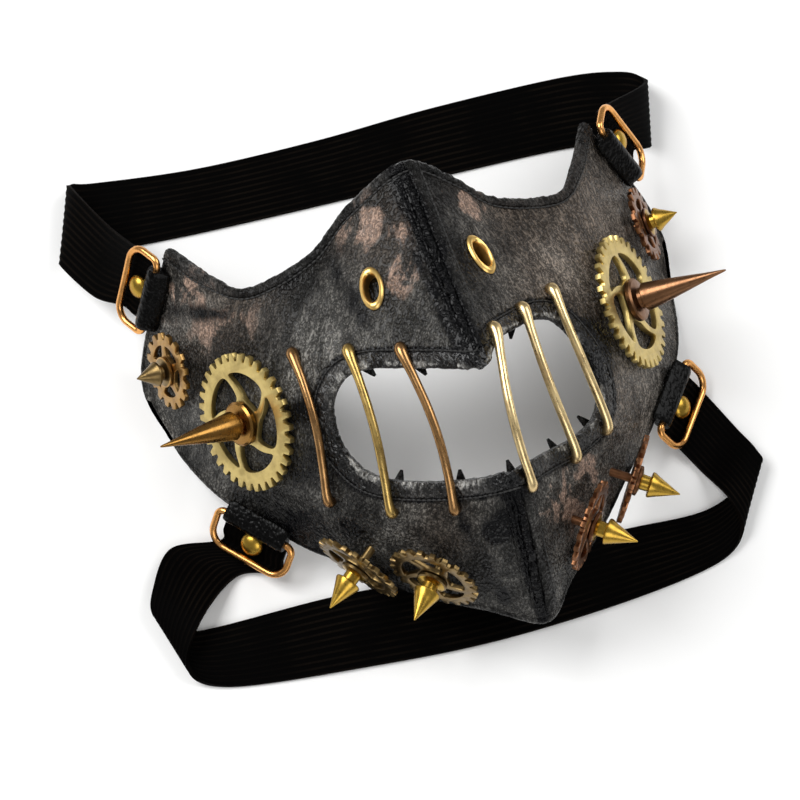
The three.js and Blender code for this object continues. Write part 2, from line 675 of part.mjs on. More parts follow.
// Closed band through the stations, flattened where it meets the floor
function strapBand(stations) {
  const heads = stations.map((s) => s.head);
  const feet = stations.map((s) => s.foot);
  const count = (stations.length - 1) * STRAP_SAMPLES + 1;
  const at = [];
  const index = [];
  const put = (p) => at.push(p.x, p.y, p.z);
  for (let i = 0; i < count; i += 1) {
    const u = Math.min(i / STRAP_SAMPLES, stations.length - 1);
    const [head, foot] = [spline(heads, u), spline(feet, u)];
    const [a, b] = [Math.max(u - 0.05, 0), Math.min(u + 0.05, stations.length - 1)];
    const middle = (v) => spline(heads, v).add(spline(feet, v));
    const face = middle(b).sub(middle(a)).cross(head.clone().sub(foot)).normalize();
    for (const [p, by] of [[head, 1], [foot, 1], [foot, -1], [head, -1]]) {
      const corner = p.clone().addScaledVector(face, (by * STRAP_THICK) / 2);
      corner.z = Math.max(corner.z, 0);
      put(corner);
    }
  }
  const ring = 4;
  for (let i = 0; i + 1 < count; i += 1) {
    for (let k = 0; k < ring; k += 1) {
      const [a, b] = [i * ring + k, i * ring + ((k + 1) % ring)];
      index.push(a, b, b + ring, a, b + ring, a + ring);
    }
  }
  const last = (count - 1) * ring;
  index.push(0, 2, 1, 0, 3, 2, last, last + 1, last + 2, last, last + 2, last + 3);
  const geometry = new THREE.BufferGeometry();
  geometry.setAttribute('position', new THREE.BufferAttribute(new Float32Array(at), 3));
  geometry.setIndex(index);
  return geometry;
}

// Dome rivets through the strap ends, inside each ring
for (const [kind, rows] of [['upper', UPPER_STRAP], ['lower', LOWER_STRAP]]) {
  const holes = [];
  for (const sideOf of ['left', 'right']) {
    const ring = ringFrames[`${kind}_${sideOf}`];
    const under = STRAP_DROP + STRAP_THICK;
    const mid = ring.wire.clone().addScaledVector(ring.out, RIVET.out).addScaledVector(ring.top, -under);
    const frame = ring.frame.clone().setPosition(mid);
    const foot = STRAP_THICK + GAP;
    const dome = [
      [0, -RIVET.back],
      [RIVET.post, -RIVET.back],
      [RIVET.post, foot],
      [RIVET.radius, foot],
      [RIVET.radius * 0.9, foot + RIVET.high * 0.55],
      [RIVET.radius * 0.55, foot + RIVET.high * 0.9],
      [0, foot + RIVET.high],
    ];
    addPiece(`tab_rivet_${kind}_${sideOf}`, turned(dome, RIVET.sides).applyMatrix4(frame), LOOKS.gold);
    holes.push(pin(RIVET.post + GAP, -2, foot + 1, 8).applyMatrix4(frame));
  }
  addPiece(`${kind}_strap`, cut(strapBand(strapStations(kind, rows)), holes), LOOKS.elastic);
}

// Stand the whole on the floor, over its own middle
const box = new THREE.Box3();
for (const piece of pieces) {
  piece.geometry.computeBoundingBox();
  box.union(piece.geometry.boundingBox);
}
const middle = box.getCenter(new THREE.Vector3());
const group = new THREE.Group();
group.name = 'steampunk_mask';
for (const piece of pieces) {
  piece.geometry.translate(-middle.x, -middle.y, -box.min.z);
  piece.geometry.computeVertexNormals();
  const mesh = new THREE.Mesh(piece.geometry, piece.look);
  mesh.name = piece.name;
  group.add(mesh);
}

export default group;
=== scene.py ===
"""Half-face leather mask with gears, spikes and elastic straps, lying face up on a pale floor."""
import math

import bmesh
import bpy
import numpy as np
from mathutils import Matrix, Vector, noise


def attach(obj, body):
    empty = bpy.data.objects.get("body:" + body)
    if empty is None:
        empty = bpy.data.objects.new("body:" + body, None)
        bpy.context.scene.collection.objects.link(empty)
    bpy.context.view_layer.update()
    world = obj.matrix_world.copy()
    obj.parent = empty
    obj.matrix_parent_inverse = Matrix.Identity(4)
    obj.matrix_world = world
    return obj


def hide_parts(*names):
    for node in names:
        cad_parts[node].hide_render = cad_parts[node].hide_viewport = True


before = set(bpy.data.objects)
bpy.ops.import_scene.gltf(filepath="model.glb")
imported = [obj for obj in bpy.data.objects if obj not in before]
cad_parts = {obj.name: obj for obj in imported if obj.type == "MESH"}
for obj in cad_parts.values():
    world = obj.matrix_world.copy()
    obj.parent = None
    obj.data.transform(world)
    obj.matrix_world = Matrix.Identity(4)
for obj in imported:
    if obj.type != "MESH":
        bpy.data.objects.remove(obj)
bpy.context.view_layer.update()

MM = 0.001


def table(columns, *rows):
    """Rows as dictionaries, by the names of their columns."""
    return [dict(zip(columns.split(), row)) for row in rows]


# How the mask lies, in millimetres: leant back, then moved over the middle of the part
FACE_LEAN = math.radians(18)
LIE_SHIFT = np.array([0.0, -70.0, -19.5])
CENTRE_SHIFT = np.array([2.3911, -15.9006, 0.0])

# Leather
LEATHER = 2.0
GAP = 0.3
RIDGE_SHIFT = 4.5
RIDGE_SHIFT_REACH = 16.0
CREASE = 0.65
RIB_STEPS = 104
LEVEL_STEPS = 112
EDGE_FADE, RIDGE_FADE = 5, 6
SEARCH = dict(rounds=16, steps=9, closer=0.6)

# Lines of the half face from the ridge to the rear edge, each from the jaw edge up to the top edge
RIBS = {
    "ridge": [(0, 1, 48), (0, 46, 76), (0, 82, 78), (0, 115, 64), (0, 147.5, 50)],
    "nostril": [(14, 10, 43), (14, 45, 66), (15, 85, 67), (17, 112, 57), (16.5, 140, 45)],
    "lip": [(32, 22, 34), (30, 49, 56), (30, 88, 57), (31, 112, 47.5), (30, 130, 39)],
    "cheek": [(47, 35.5, 27), (48, 56, 42), (49, 86, 45), (49, 110, 38), (51, 126, 31.5)],
    "gear": [(57, 43.5, 20.5), (65, 61, 22), (66, 86, 23), (67, 112, 20), (61.5, 134, 24)],
    "rear": [(65.5, 52.5, 16), (79, 68.5, 8), (87.8, 90, -11), (90, 114, -13), (71, 147, 14)],
}
RIB_END = len(RIBS) - 1
LEVEL_END = len(RIBS["ridge"]) - 1

# Mouth opening: its outline from the ridge on the upper lip, leftwards and round
MOUTH = [
    (5, 81), (-8.5, 85.5), (-24.5, 91), (-32.5, 91), (-38.5, 85), (-40.5, 76), (-39, 67),
    (-32, 57.5), (-14, 50.5), (3, 48), (18.5, 50), (29, 51.5), (38, 55.5), (42, 63),
    (41.5, 74), (36, 86.5), (29.5, 90.5), (20, 89.5), (12, 87),
]
MOUTH_BLOCK = (0, 120)

# Mouth bars: the two ends on the leather, the sideways bow between them, and the metal
BARS = table(
    "top foot bow metal",
    ((-44, 102), (-46.5, 56), 1.6, "bronze"), ((-28.5, 97.5), (-30.5, 47.5), 1.4, "gold"),
    ((-14.5, 93), (-13.5, 43), 2.2, "bronze"), ((11.5, 90.5), (8, 43), -2.4, "pale"),
    ((23.5, 94), (25.5, 46.5), -1.2, "pale"), ((35.5, 97), (39, 51.5), -0.4, "pale"),
)
BAR_LIFT = 2.2
BAR_STATIONS = [0.06, 0.2, 0.4, 0.6, 0.8, 0.94]
BAR_RADIUS = {"head": 1.95, "shank": 1.35, "foot": 1.75}
BAR_BEND = 0.1
BAR_POINTS = 120
BAR_SWELLS = table("part at reach", ("head", 0.15, 0.1), ("foot", 0.88, 0.09))

# Gear discs: radii of the parts, spokes with their sweep in radians
GEARS = {
    "cheek": dict(teeth=34, tip=22, root=19.6, rim=16, hub=7, spokes=5, spoke=2.6, sweep=0.45, thick=2),
    "temple": dict(teeth=16, tip=12.6, root=10.6, rim=8.6, hub=5, spokes=5, spoke=2.6, sweep=0, thick=1.6),
    "jaw": dict(teeth=22, tip=14.3, root=12.6, rim=10.4, hub=5.2, spokes=5, spoke=2.2, sweep=0.3, thick=1.6),
}
SPOKE_FLARE = 1.25
SPOKE_TIP = 0.75
TOOTH = [(0.08, "root"), (0.26, "tip"), (0.66, "tip"), (0.84, "root")]
GEAR_BEVEL = 0.22
WINDOW_STEPS = 9

# Spikes: collar, neck, cone base, cone length
SPIKES = {
    "cheek": dict(collar=7, collar_high=2.4, neck=3.4, neck_high=1.6, base=4.6, length=28),
    "temple": dict(collar=5, collar_high=1.4, neck=2.4, neck_high=1.6, base=4, length=7.5),
    "jaw": dict(collar=4.8, collar_high=1.6, neck=2.4, neck_high=2.6, base=4.1, length=10),
}
SPIKE_POST = 1.4
EYELET = dict(hole=4.4, barrel=5.2, flange=7, narrow=0.56, rise=1.3)
EYELET_CUT = dict(slack=0.2, reach=20)
OVAL = Matrix.Diagonal((EYELET["narrow"], 1, 1, 1))
SIDES_ROUND = {"hole": 32, "spike": 40, "eyelet": 56, "rivet": 36, "ring": 14, "bar": 16}
PLACES = {"cheek": "cheek", "temple": "temple", "jaw_outer": "jaw", "jaw_inner": "jaw"}

# Strap rings, their rolled tabs and dome rivets
RING = dict(length=30, width=14.5, wire=1.15, corner=5.5, tight=2.4)
TAB = dict(length=22, wall=1.4, tail=4)
TAB_ROLL = dict(start=math.radians(48), stop=math.radians(270), points=34, slices=40)
TAB_WEAR = dict(pinch=0.12, pinched=0.88, crumple=0.035)
ROLL = RING["wire"] + GAP + TAB["wall"]
RIVET = dict(radius=3.9, high=2.5, post=1.1)

# Straps: the two edges of the band at each station, between the ring on the left and the right
STRAP_THICK = 1.5
STRAP_DROP = 1.8
STRAP_RIBS = 11
RIB_DEPTH = 0.12
STRAP_STEP = 14
STRAP_UNDER_RING = (0.5, 0.85)
UPPER_STRAP = table(
    "head foot",
    ((-86, 88.5, 20.5), (-97, 70, 11)), ((-93.5, 109, 12), (-104.5, 85, 8)),
    ((-94, 115, 5), (-102, 88, 4.5)), ((-86, 114.8, 0.75), (-87, 89, 0.75)),
    ((-51.5, 109, 0.75), (-55, 86, 0.75)), ((-9.5, 106.2, 0.75), (-11.5, 82.8, 0.75)),
    ((32, 105.5, 0.75), (29, 80.2, 0.75)), ((78.5, 102.5, 0.75), (73.5, 76.5, 0.75)),
    ((98.5, 97, 3), (91.5, 71, 3)), ((104, 90, 8), (97, 67.5, 6)), ((99.5, 83.5, 16), (95.5, 64, 9.5)),
)
LOWER_STRAP = table(
    "head foot",
    ((-98, -18, 1.5), (-80.5, -33, 1.5)), ((-107, -30.5, 6), (-95.5, -45, 8)),
    ((-108.5, -38.5, 4.5), (-103.5, -57.5, 4.5)), ((-99.5, -46, 0.75), (-92.5, -66.5, 0.75)),
    ((-54, -49.3, 0.75), (-50, -74, 0.75)), ((-8, -55, 0.75), (-8.7, -79, 0.75)),
    ((38.5, -57.5, 0.75), (35, -80, 0.75)), ((70.5, -60, 0.75), (66.5, -77.5, 0.75)),
    ((89.5, -52.5, 4.5), (77, -71, 4.5)), ((91, -47.5, 6), (76.5, -61, 8)),
    ((88.5, -36.5, 1.5), (73, -47.5, 1.5)),
)

# Paint rubbed through to pale taupe, warm haze, and dark places that are partly polished leather and partly
# painted shade, on the mask's own x and y
RUBS = table(
    "x y reach strength",
    (-9, 134, 8, 0.95), (-3, 127, 7, 0.9), (-4, 116, 8, 0.65), (20, 131, 8, 0.7), (19, 34, 8, 0.8),
    (28, 41, 8, 0.55), (-66, 134, 9, 0.65), (-62, 119, 8, 0.5),
)
HAZES = table(
    "x y reach strength",
    (60, 112, 27, 0.95), (42, 103, 19, 0.85), (34, 126, 14, 0.6), (68, 88, 20, 0.65),
    (52, 58, 15, 0.75), (28, 30, 13, 0.5), (-60, 124, 15, 0.45), (-8, 126, 14, 0.35),
    (-18, 40, 10, 0.35),
)
# Dark places: partly polished leather, partly painted shade, such as on the left jaw and in the right corner
# of the mouth
DARKS = table(
    "x y reach strength",
    (-2, 34, 7, 1.0), (3, 118, 7, 0.8), (47, 80, 8, 0.8), (42, 72, 8, 1.0), (4, 46, 9, 1.0),
    (-44, 46, 14, 0.5), (-45, 84, 7, 0.7), (-36, 122, 8, 0.6), (-50, 66, 10, 0.5), (-60, 48, 15, 0.8),
)
# Dark runs, partly polished leather and partly painted shade: from and to on x and y, half width, strength
DARK_RUNS = table(
    "from to wide strength",
    ((2, 147), (4, 84), 4.2, 0.95), ((-2, 120), (0, 86), 2.0, 0.75), ((2, 47), (4, 3), 3.0, 0.9),
    ((-26, 129), (-21, 103), 4.2, 0.5), ((-75, 129), (-60, 121), 3.6, 0.5),
    ((10, 130), (12, 96), 3.4, 0.5), ((-14, 46), (-6, 12), 3.0, 0.6),
)

# Hems sewn over the edges: width on the face, how proud they stand, width behind, wall and ripple
LIP_WIDE = 4.1
HEMS = {
    "top_hem": dict(wide=2.9, proud=0.7, back=2.6, wall=0.9, ripple=0.42, seed=2),
    "jaw_edge": dict(wide=1.5, proud=0.32, back=1.6, wall=0.5, ripple=0.12, seed=4),
    "rear_edge": dict(wide=1.7, proud=0.32, back=1.6, wall=0.5, ripple=0.12, seed=6),
    "lip_band": dict(wide=LIP_WIDE, proud=0.6, back=2.6, wall=0.9, ripple=0.32, seed=9),
}
HUG = 0.06
RIDGE_RIPPLE = 0.16

# Points along the edges, the ridge and the mouth
EDGE_POINTS, RIDGE_POINTS = 260, 160
LIP_POINTS, CUT_POINTS, NEAR_POINTS, TIE_POINTS = 420, 150, 200, 400

# Rows of stitches: how far in from their edge and how high they lie, then the size of one stitch
STITCHES = {
    "top_hem": {"in": 3.3, "lift": 0.12, "spacing": 1.9, "length": 1.0, "thread": 0.38},
    "ridge": {"in": 4.95, "lift": 0.15, "spacing": 1.9, "length": 1.05, "thread": 0.42},
    "lip": {"in": LIP_WIDE + 0.35, "lift": 0.1, "spacing": 1.6, "length": 0.9, "thread": 0.36},
}

# Soft folds in the leather: from and to on the mask's x and y, half width and height in millimetres
FOLDS = table(
    "from to wide high",
    ((13, 46), (20, 20), 2.6, 0.9), ((22, 47), (27, 28), 2.4, 0.6), ((-3, 122), (1, 86), 1.6, 0.7),
    ((-8, 112), (-5, 88), 1.5, 0.5), ((9, 133), (12, 88), 1.5, -0.5), ((-42, 98), (-30, 108), 3.0, 0.5),
    ((44, 92), (54, 76), 2.6, -0.6), ((-50, 58), (-62, 66), 3.2, 0.5),
)

# The hide's own unevenness: height, scale and seed of each noise
UNEVEN = table("high scale seed", (0.28, 0.09, 3), (0.16, 0.26, 11))

# Camera of the photograph: what it looks at in millimetres, its angles, distance and lens
LOOK_AT = np.array([-14.609, -23.128, 42.955])
CAMERA_AZIMUTH = math.radians(-18.5)
CAMERA_ELEVATION = math.radians(70)
CAMERA_DISTANCE = 650.0
CAMERA_LENS = 95.06
CAMERA_SENSOR = 36.0
FLOOR_REACH = 3.0

SIDES = {"left": -1, "right": 1}


# Smooth curves and the leather's face

def through(points, at):
    """Values of a smooth curve through evenly spaced points; points may hold one curve for each value."""
    points = np.asarray(points, float)
    at = np.asarray(at, float)
    if points.ndim == 2:
        points = np.repeat(points[:, None], len(at), axis=1)
    i = np.clip(np.floor(at).astype(int), 0, len(points) - 2)
    f = (at - i)[:, None]
    ends = (2 * points[:1] - points[1:2], 2 * points[-1:] - points[-2:-1])
    wide = np.concatenate([ends[0], points, ends[1]])
    each = np.arange(len(at))
    p0, p1, p2, p3 = (wide[i + k, each] for k in range(4))
    start = (p2 - p0) / 2 * (f**3 - 2 * f**2 + f)
    stop = (p3 - p1) / 2 * (f**3 - f**2)
    return p1 * (2 * f**3 - 3 * f**2 + 1) + start + p2 * (3 * f**2 - 2 * f**3) + stop


def rib_line(level):
    """Points across the half face at a level, with one beyond the ridge that keeps part of its crease."""
    row = [np.array(points[level], float) for points in RIBS.values()]
    creased = 2 * row[0][2] - row[1][2]
    beyond = np.array([-row[1][0], row[1][1], row[1][2] + (creased - row[1][2]) * CREASE])
    return np.array([beyond, *row])


RIB_LINES = [rib_line(level) for level in range(LEVEL_END + 1)]


def face(side, rib, level):
    """Points of the leather's outer face on one side, for equally long lists of ribs and levels."""
    rib = np.asarray(rib, float)
    lines = np.stack([through(line, rib + 1) for line in RIB_LINES])
    p = through(lines, level)
    lean = RIDGE_SHIFT * np.exp(-((p[:, 0] / RIDGE_SHIFT_REACH) ** 2))
    p[:, 0] = side * p[:, 0] + lean
    return p


def unit(v):
    return v / np.linalg.norm(v, axis=-1, keepdims=True)


def face_normal(side, rib, level):
    step = 0.02
    rib, level = np.asarray(rib, float), np.asarray(level, float)
    across = face(side, np.minimum(rib + step, RIB_END), level) - face(side, np.maximum(rib - step, 0), level)
    up = face(side, rib, np.minimum(level + step, LEVEL_END)) - face(side, rib, np.maximum(level - step, 0))
    return unit(np.cross(across, up)) * side


def find_on_face(side, xy):
    """Rib and level of the face under each place given by x and y on one side."""
    xy = np.asarray(xy, float)
    reach = RIB_END / 2
    rib, level = np.full(len(xy), reach), np.full(len(xy), LEVEL_END / 2)
    steps = np.linspace(-1, 1, SEARCH["steps"])
    di, dj = (grid.ravel() for grid in np.meshgrid(steps, steps, indexing="ij"))
    for _ in range(SEARCH["rounds"]):
        ribs = np.clip(rib[:, None] + di * reach, 0, RIB_END)
        levels = np.clip(level[:, None] + dj * reach, 0, LEVEL_END)
        p = face(side, ribs.ravel(), levels.ravel()).reshape(len(xy), -1, 3)
        best = np.linalg.norm(p[..., :2] - xy[:, None], axis=2).argmin(axis=1)
        each = np.arange(len(xy))
        rib, level = ribs[each, best], levels[each, best]
        reach *= SEARCH["closer"]
    return rib, level


def on_leather(xy, lift):
    """Points and normals on the whole mask at places given by x and y, raised along the normal."""
    xy = np.asarray(xy, float)
    points, normals = np.zeros((len(xy), 3)), np.zeros((len(xy), 3))
    for side in (-1, 1):
        here = (xy[:, 0] < RIDGE_SHIFT) if side < 0 else (xy[:, 0] >= RIDGE_SHIFT)
        if here.any():
            rib, level = find_on_face(side, xy[here])
            normals[here] = face_normal(side, rib, level)
            points[here] = face(side, rib, level)
    return points + normals * np.reshape(lift, (-1, 1)), normals


def turn(v, way=1):
    """Directions of the mask's own frame on the row frame, or back again with the way reversed."""
    c, s = math.cos(FACE_LEAN), way * math.sin(FACE_LEAN)
    return np.stack([v[:, 0], c * v[:, 1] - s * v[:, 2], s * v[:, 1] + c * v[:, 2]], axis=1)


def lie(p):
    """Points of the mask's own frame on the row frame, in metres."""
    return (turn(p) + LIE_SHIFT + CENTRE_SHIFT) * MM


def stand_up(p):
    """Points of the row frame, in metres, on the mask's own frame."""
    return turn(p / MM - LIE_SHIFT - CENTRE_SHIFT, -1)


# Meshes

def add_object(name, data):
    obj = bpy.data.objects.new(name, data)
    bpy.context.scene.collection.objects.link(obj)
    return obj


def points_of(obj):
    return np.array([v.co for v in obj.data.vertices], float)


def set_values(obj, name, values):
    """One number for each point of a piece, for its finish to read."""
    layer = obj.data.attributes.get(name) or obj.data.attributes.new(name, "FLOAT", "POINT")
    layer.data.foreach_set("value", np.asarray(values, np.float32))


def add_mesh(name, points, faces, finish, smooth_angle=35):
    mesh = bpy.data.meshes.new(name)
    mesh.from_pydata([tuple(p) for p in points], [], [tuple(f) for f in faces])
    obj = add_object(name, mesh)
    outwards(mesh)
    smooth(mesh, smooth_angle)
    if finish:
        mesh.materials.append(finish)
    return obj


def outwards(mesh):
    shape = bmesh.new()
    shape.from_mesh(mesh)
    bmesh.ops.remove_doubles(shape, verts=shape.verts, dist=1e-7)
    bmesh.ops.recalc_face_normals(shape, faces=shape.faces)
    shape.to_mesh(mesh)
    shape.free()


def smooth(mesh, angle):
    mesh.polygons.foreach_set("use_smooth", [True] * len(mesh.polygons))
    mesh.set_sharp_from_angle(angle=math.radians(angle))
    mesh.update()


def made_mesh(obj):
    """Plain mesh of the object as it stands after its modifiers."""
    depsgraph = bpy.context.evaluated_depsgraph_get()
    return bpy.data.meshes.new_from_object(obj.evaluated_get(depsgraph))


def baked(obj):
    """The object with its modifiers made part of a plain mesh."""
    old, mesh = obj.data, made_mesh(obj)
    obj.modifiers.clear()
    obj.data = mesh
    bpy.data.meshes.remove(old)
    return obj


def settle(obj, slot, *nodes):
    """The piece rides on the part's one body and stands for its nodes; the slot it is given is not used."""
    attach(obj, "root")
    if nodes:
        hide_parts(*nodes)
    return obj


def loft(name, rings, finish, closed_path=False, smooth_angle=35):
    """Closed tube through rings of equally many points, capped at both ends unless the path closes."""
    rings = np.asarray(rings)
    count, around = rings.shape[:2]
    faces = []
    for i in range(count if closed_path else count - 1):
        a, b = i * around, ((i + 1) % count) * around
        for k in range(around):
            j = (k + 1) % around
            faces.append((a + k, a + j, b + j, b + k))
    if not closed_path:
        faces.append(range(around))
        faces.append(range((count - 1) * around, count * around))
    return add_mesh(name, rings.reshape(-1, 3), faces, finish, smooth_angle)


def tube(name, path, radii, finish, sides, closed_path=False):
    """Round wire along a path, of one radius or one for each point, its ends flat unless the path closes."""
    path = np.asarray(path, float)
    tangent = np.gradient(path, axis=0)
    if closed_path:
        tangent = np.roll(path, -1, axis=0) - np.roll(path, 1, axis=0)
    tangent = unit(tangent)
    across = np.zeros_like(path)
    across[0] = unit(np.cross(tangent[0], [0.3, 0.5, 0.8]))
    for i in range(1, len(path)):
        across[i] = unit(across[i - 1] - tangent[i] * np.dot(across[i - 1], tangent[i]))
    over = np.cross(tangent, across)
    turns = np.linspace(0, 2 * math.pi, sides, endpoint=False)
    circle = np.cos(turns)[None, :, None] * across[:, None] + np.sin(turns)[None, :, None] * over[:, None]
    rings = path[:, None] + circle * np.reshape(radii, (-1, 1, 1))
    return loft(name, rings, finish, closed_path)


def turned(name, rows, sides, place, finish, smooth_angle=30):
    """Turned solid from rows of radius and height, on the place's own Z axis."""
    points, faces = [], []
    for radius, height in rows:
        for k in range(sides):
            angle = 2 * math.pi * k / sides
            local = Vector((radius * math.cos(angle), radius * math.sin(angle), height)) * MM
            points.append(place @ local)
    for i in range(len(rows) - 1):
        for k in range(sides):
            j = (k + 1) % sides
            faces.append((i * sides + k, i * sides + j, (i + 1) * sides + j, (i + 1) * sides + k))
    return add_mesh(name, points, faces, finish, smooth_angle)


# Places of the fittings, taken from their CAD nodes

def node_points(node):
    return np.unique(points_of(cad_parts[node]).round(7), axis=0)


def main_axes(points):
    """Middle of the points and their axes, from the longest spread to the shortest."""
    middle = points.mean(axis=0)
    return middle, np.linalg.svd(points - middle, full_matrices=False)[2]


def basis(x, y, z, origin):
    place = Matrix((x, y, z)).transposed().to_4x4()
    place.translation = Vector(origin)
    return place


def disc_place(node, spike_node):
    """Frame on the underside of a disc: Z towards its spike, X level across the face."""
    points = node_points(node)
    middle, axes = main_axes(points)
    z = axes[2] if axes[2] @ (node_points(spike_node).mean(axis=0) - middle) > 0 else -axes[2]
    foot = middle + z * ((points - middle) @ z).min()
    own = turn(z[None], -1)[0]
    x = turn(unit(np.cross([0, 1, 0], own))[None])[0]
    return basis(x, np.cross(z, x), z, foot)


def eyelet_place(node, side):
    """Frame at the back end of an oval eyelet: Z out of the leather, X level across the face."""
    points = node_points(node)
    middle = points.mean(axis=0)
    rib, level = find_on_face(side, stand_up(middle[None])[:, :2])
    own = face_normal(side, rib, level)
    z = turn(own)[0]
    x = turn(unit(np.cross([0, 1, 0], own)))[0]
    return basis(x, np.cross(z, x), z, middle + z * ((points - middle) @ z).min())


def reach_along(node, place):
    """Lowest and highest point of a node along a place's Z axis, in millimetres."""
    heights = (node_points(node) - np.array(place.translation)) @ np.array(place.to_3x3().col[2]) / MM
    return heights.min(), heights.max()


def ring_place(node, tab_node):
    """Frame of a strap ring at its inner wire: X along the wire, Y away from its tab, Z up."""
    points = node_points(node)
    middle, axes = main_axes(points)
    offset = points - middle

    def middle_along(axis):
        return axis * ((offset @ axis).max() + (offset @ axis).min()) / 2

    top = axes[2] if axes[2][2] > 0 else -axes[2]
    away = middle - node_points(tab_node).mean(axis=0)
    out = axes[1] if axes[1] @ away > 0 else -axes[1]
    along = np.cross(out, top)
    wire = middle + out * ((offset @ out).min() + RING["wire"] * MM)
    wire = wire + middle_along(top) + middle_along(along)
    return {"wire": wire, "along": along, "out": out, "top": top, "frame": basis(along, out, top, wire)}


# Materials

def put(tree, socket, value):
    if hasattr(value, "is_output"):
        tree.links.new(value, socket)
    else:
        socket.default_value = value


def add_node(tree, kind, inputs=None, **settings):
    """Node with its settings, its inputs set to values or linked to the outputs of other nodes."""
    node = tree.nodes.new(kind)
    for key, value in settings.items():
        setattr(node, key, value)
    for key, value in (inputs or {}).items():
        put(tree, node.inputs[key], value)
    return node


class Shading:
    """Short ways to lay out the nodes of one material."""

    def __init__(self, name):
        self.material = bpy.data.materials.new(name)
        self.material.use_nodes = True
        self.tree = self.material.node_tree
        self.object = add_node(self.tree, "ShaderNodeTexCoord").outputs["Object"]

    def stretched(self, scale, turned=0.0):
        """Object coordinates turned about Z, then scaled on the turned axes."""
        finer = [1 / part for part in scale]
        inputs = {"Vector": self.object, "Rotation": (0.0, 0.0, turned), "Scale": finer}
        return add_node(self.tree, "ShaderNodeMapping", inputs, vector_type="TEXTURE").outputs["Vector"]

    def noise(self, scale, detail=4.0, rough=0.55, vector=None, distortion=0.0):
        inputs = {"Vector": vector or self.object, "Scale": scale, "Detail": detail, "Roughness": rough}
        node = add_node(self.tree, "ShaderNodeTexNoise", {**inputs, "Distortion": distortion})
        return node.outputs["Fac"]

    def cells(self, scale, vector):
        inputs = {"Vector": vector, "Scale": scale}
        return add_node(self.tree, "ShaderNodeTexVoronoi", inputs, feature="SMOOTH_F1").outputs["Distance"]

    def attribute(self, name):
        return add_node(self.tree, "ShaderNodeAttribute", attribute_name=name).outputs["Fac"]

    def ramp(self, value, low, high, out_low=0.0, out_high=1.0):
        inputs = {"Value": value, "From Min": low, "From Max": high, "To Min": out_low, "To Max": out_high}
        node = add_node(self.tree, "ShaderNodeMapRange", inputs, interpolation_type="SMOOTHSTEP")
        return node.outputs["Result"]

    def math(self, operation, a, b=0.0):
        return add_node(self.tree, "ShaderNodeMath", {0: a, 1: b}, operation=operation).outputs["Value"]

    def mix(self, factor, a, b):
        inputs = {"Factor": factor, "A": a, "B": b}
        return add_node(self.tree, "ShaderNodeMix", inputs, data_type="RGBA").outputs["Result"]

    def bump(self, height, distance, strength=1.0, under=None):
        inputs = {"Height": height, "Distance": distance, "Strength": strength}
        if under:
            inputs["Normal"] = under
        return add_node(self.tree, "ShaderNodeBump", inputs).outputs["Normal"]

    def finish(self, color, roughness, normal, **sockets):
        shader = self.tree.nodes["Principled BSDF"]
        values = {"Base Color": color, "Roughness": roughness, "Normal": normal, **sockets}
        for name, value in values.items():
            put(self.tree, shader.inputs[name.replace("_", " ")], value)
        return self.material


def rgb(r, g, b):
    return (r, g, b, 1.0)


# Scales of the hide's pebbles, fine flecks, brush strokes, drifts of paint and of painted shade, clouds of
# painted shade and swells
HIDE_SCALES = dict(pebbles=1080, fine=2200, stroke=1150, drift=130, cloud=24, swell=150)
# Near black of the dark places: partly polished leather, partly painted shade
POLISH_AND_SHADE = rgb(0.003, 0.003, 0.0035)


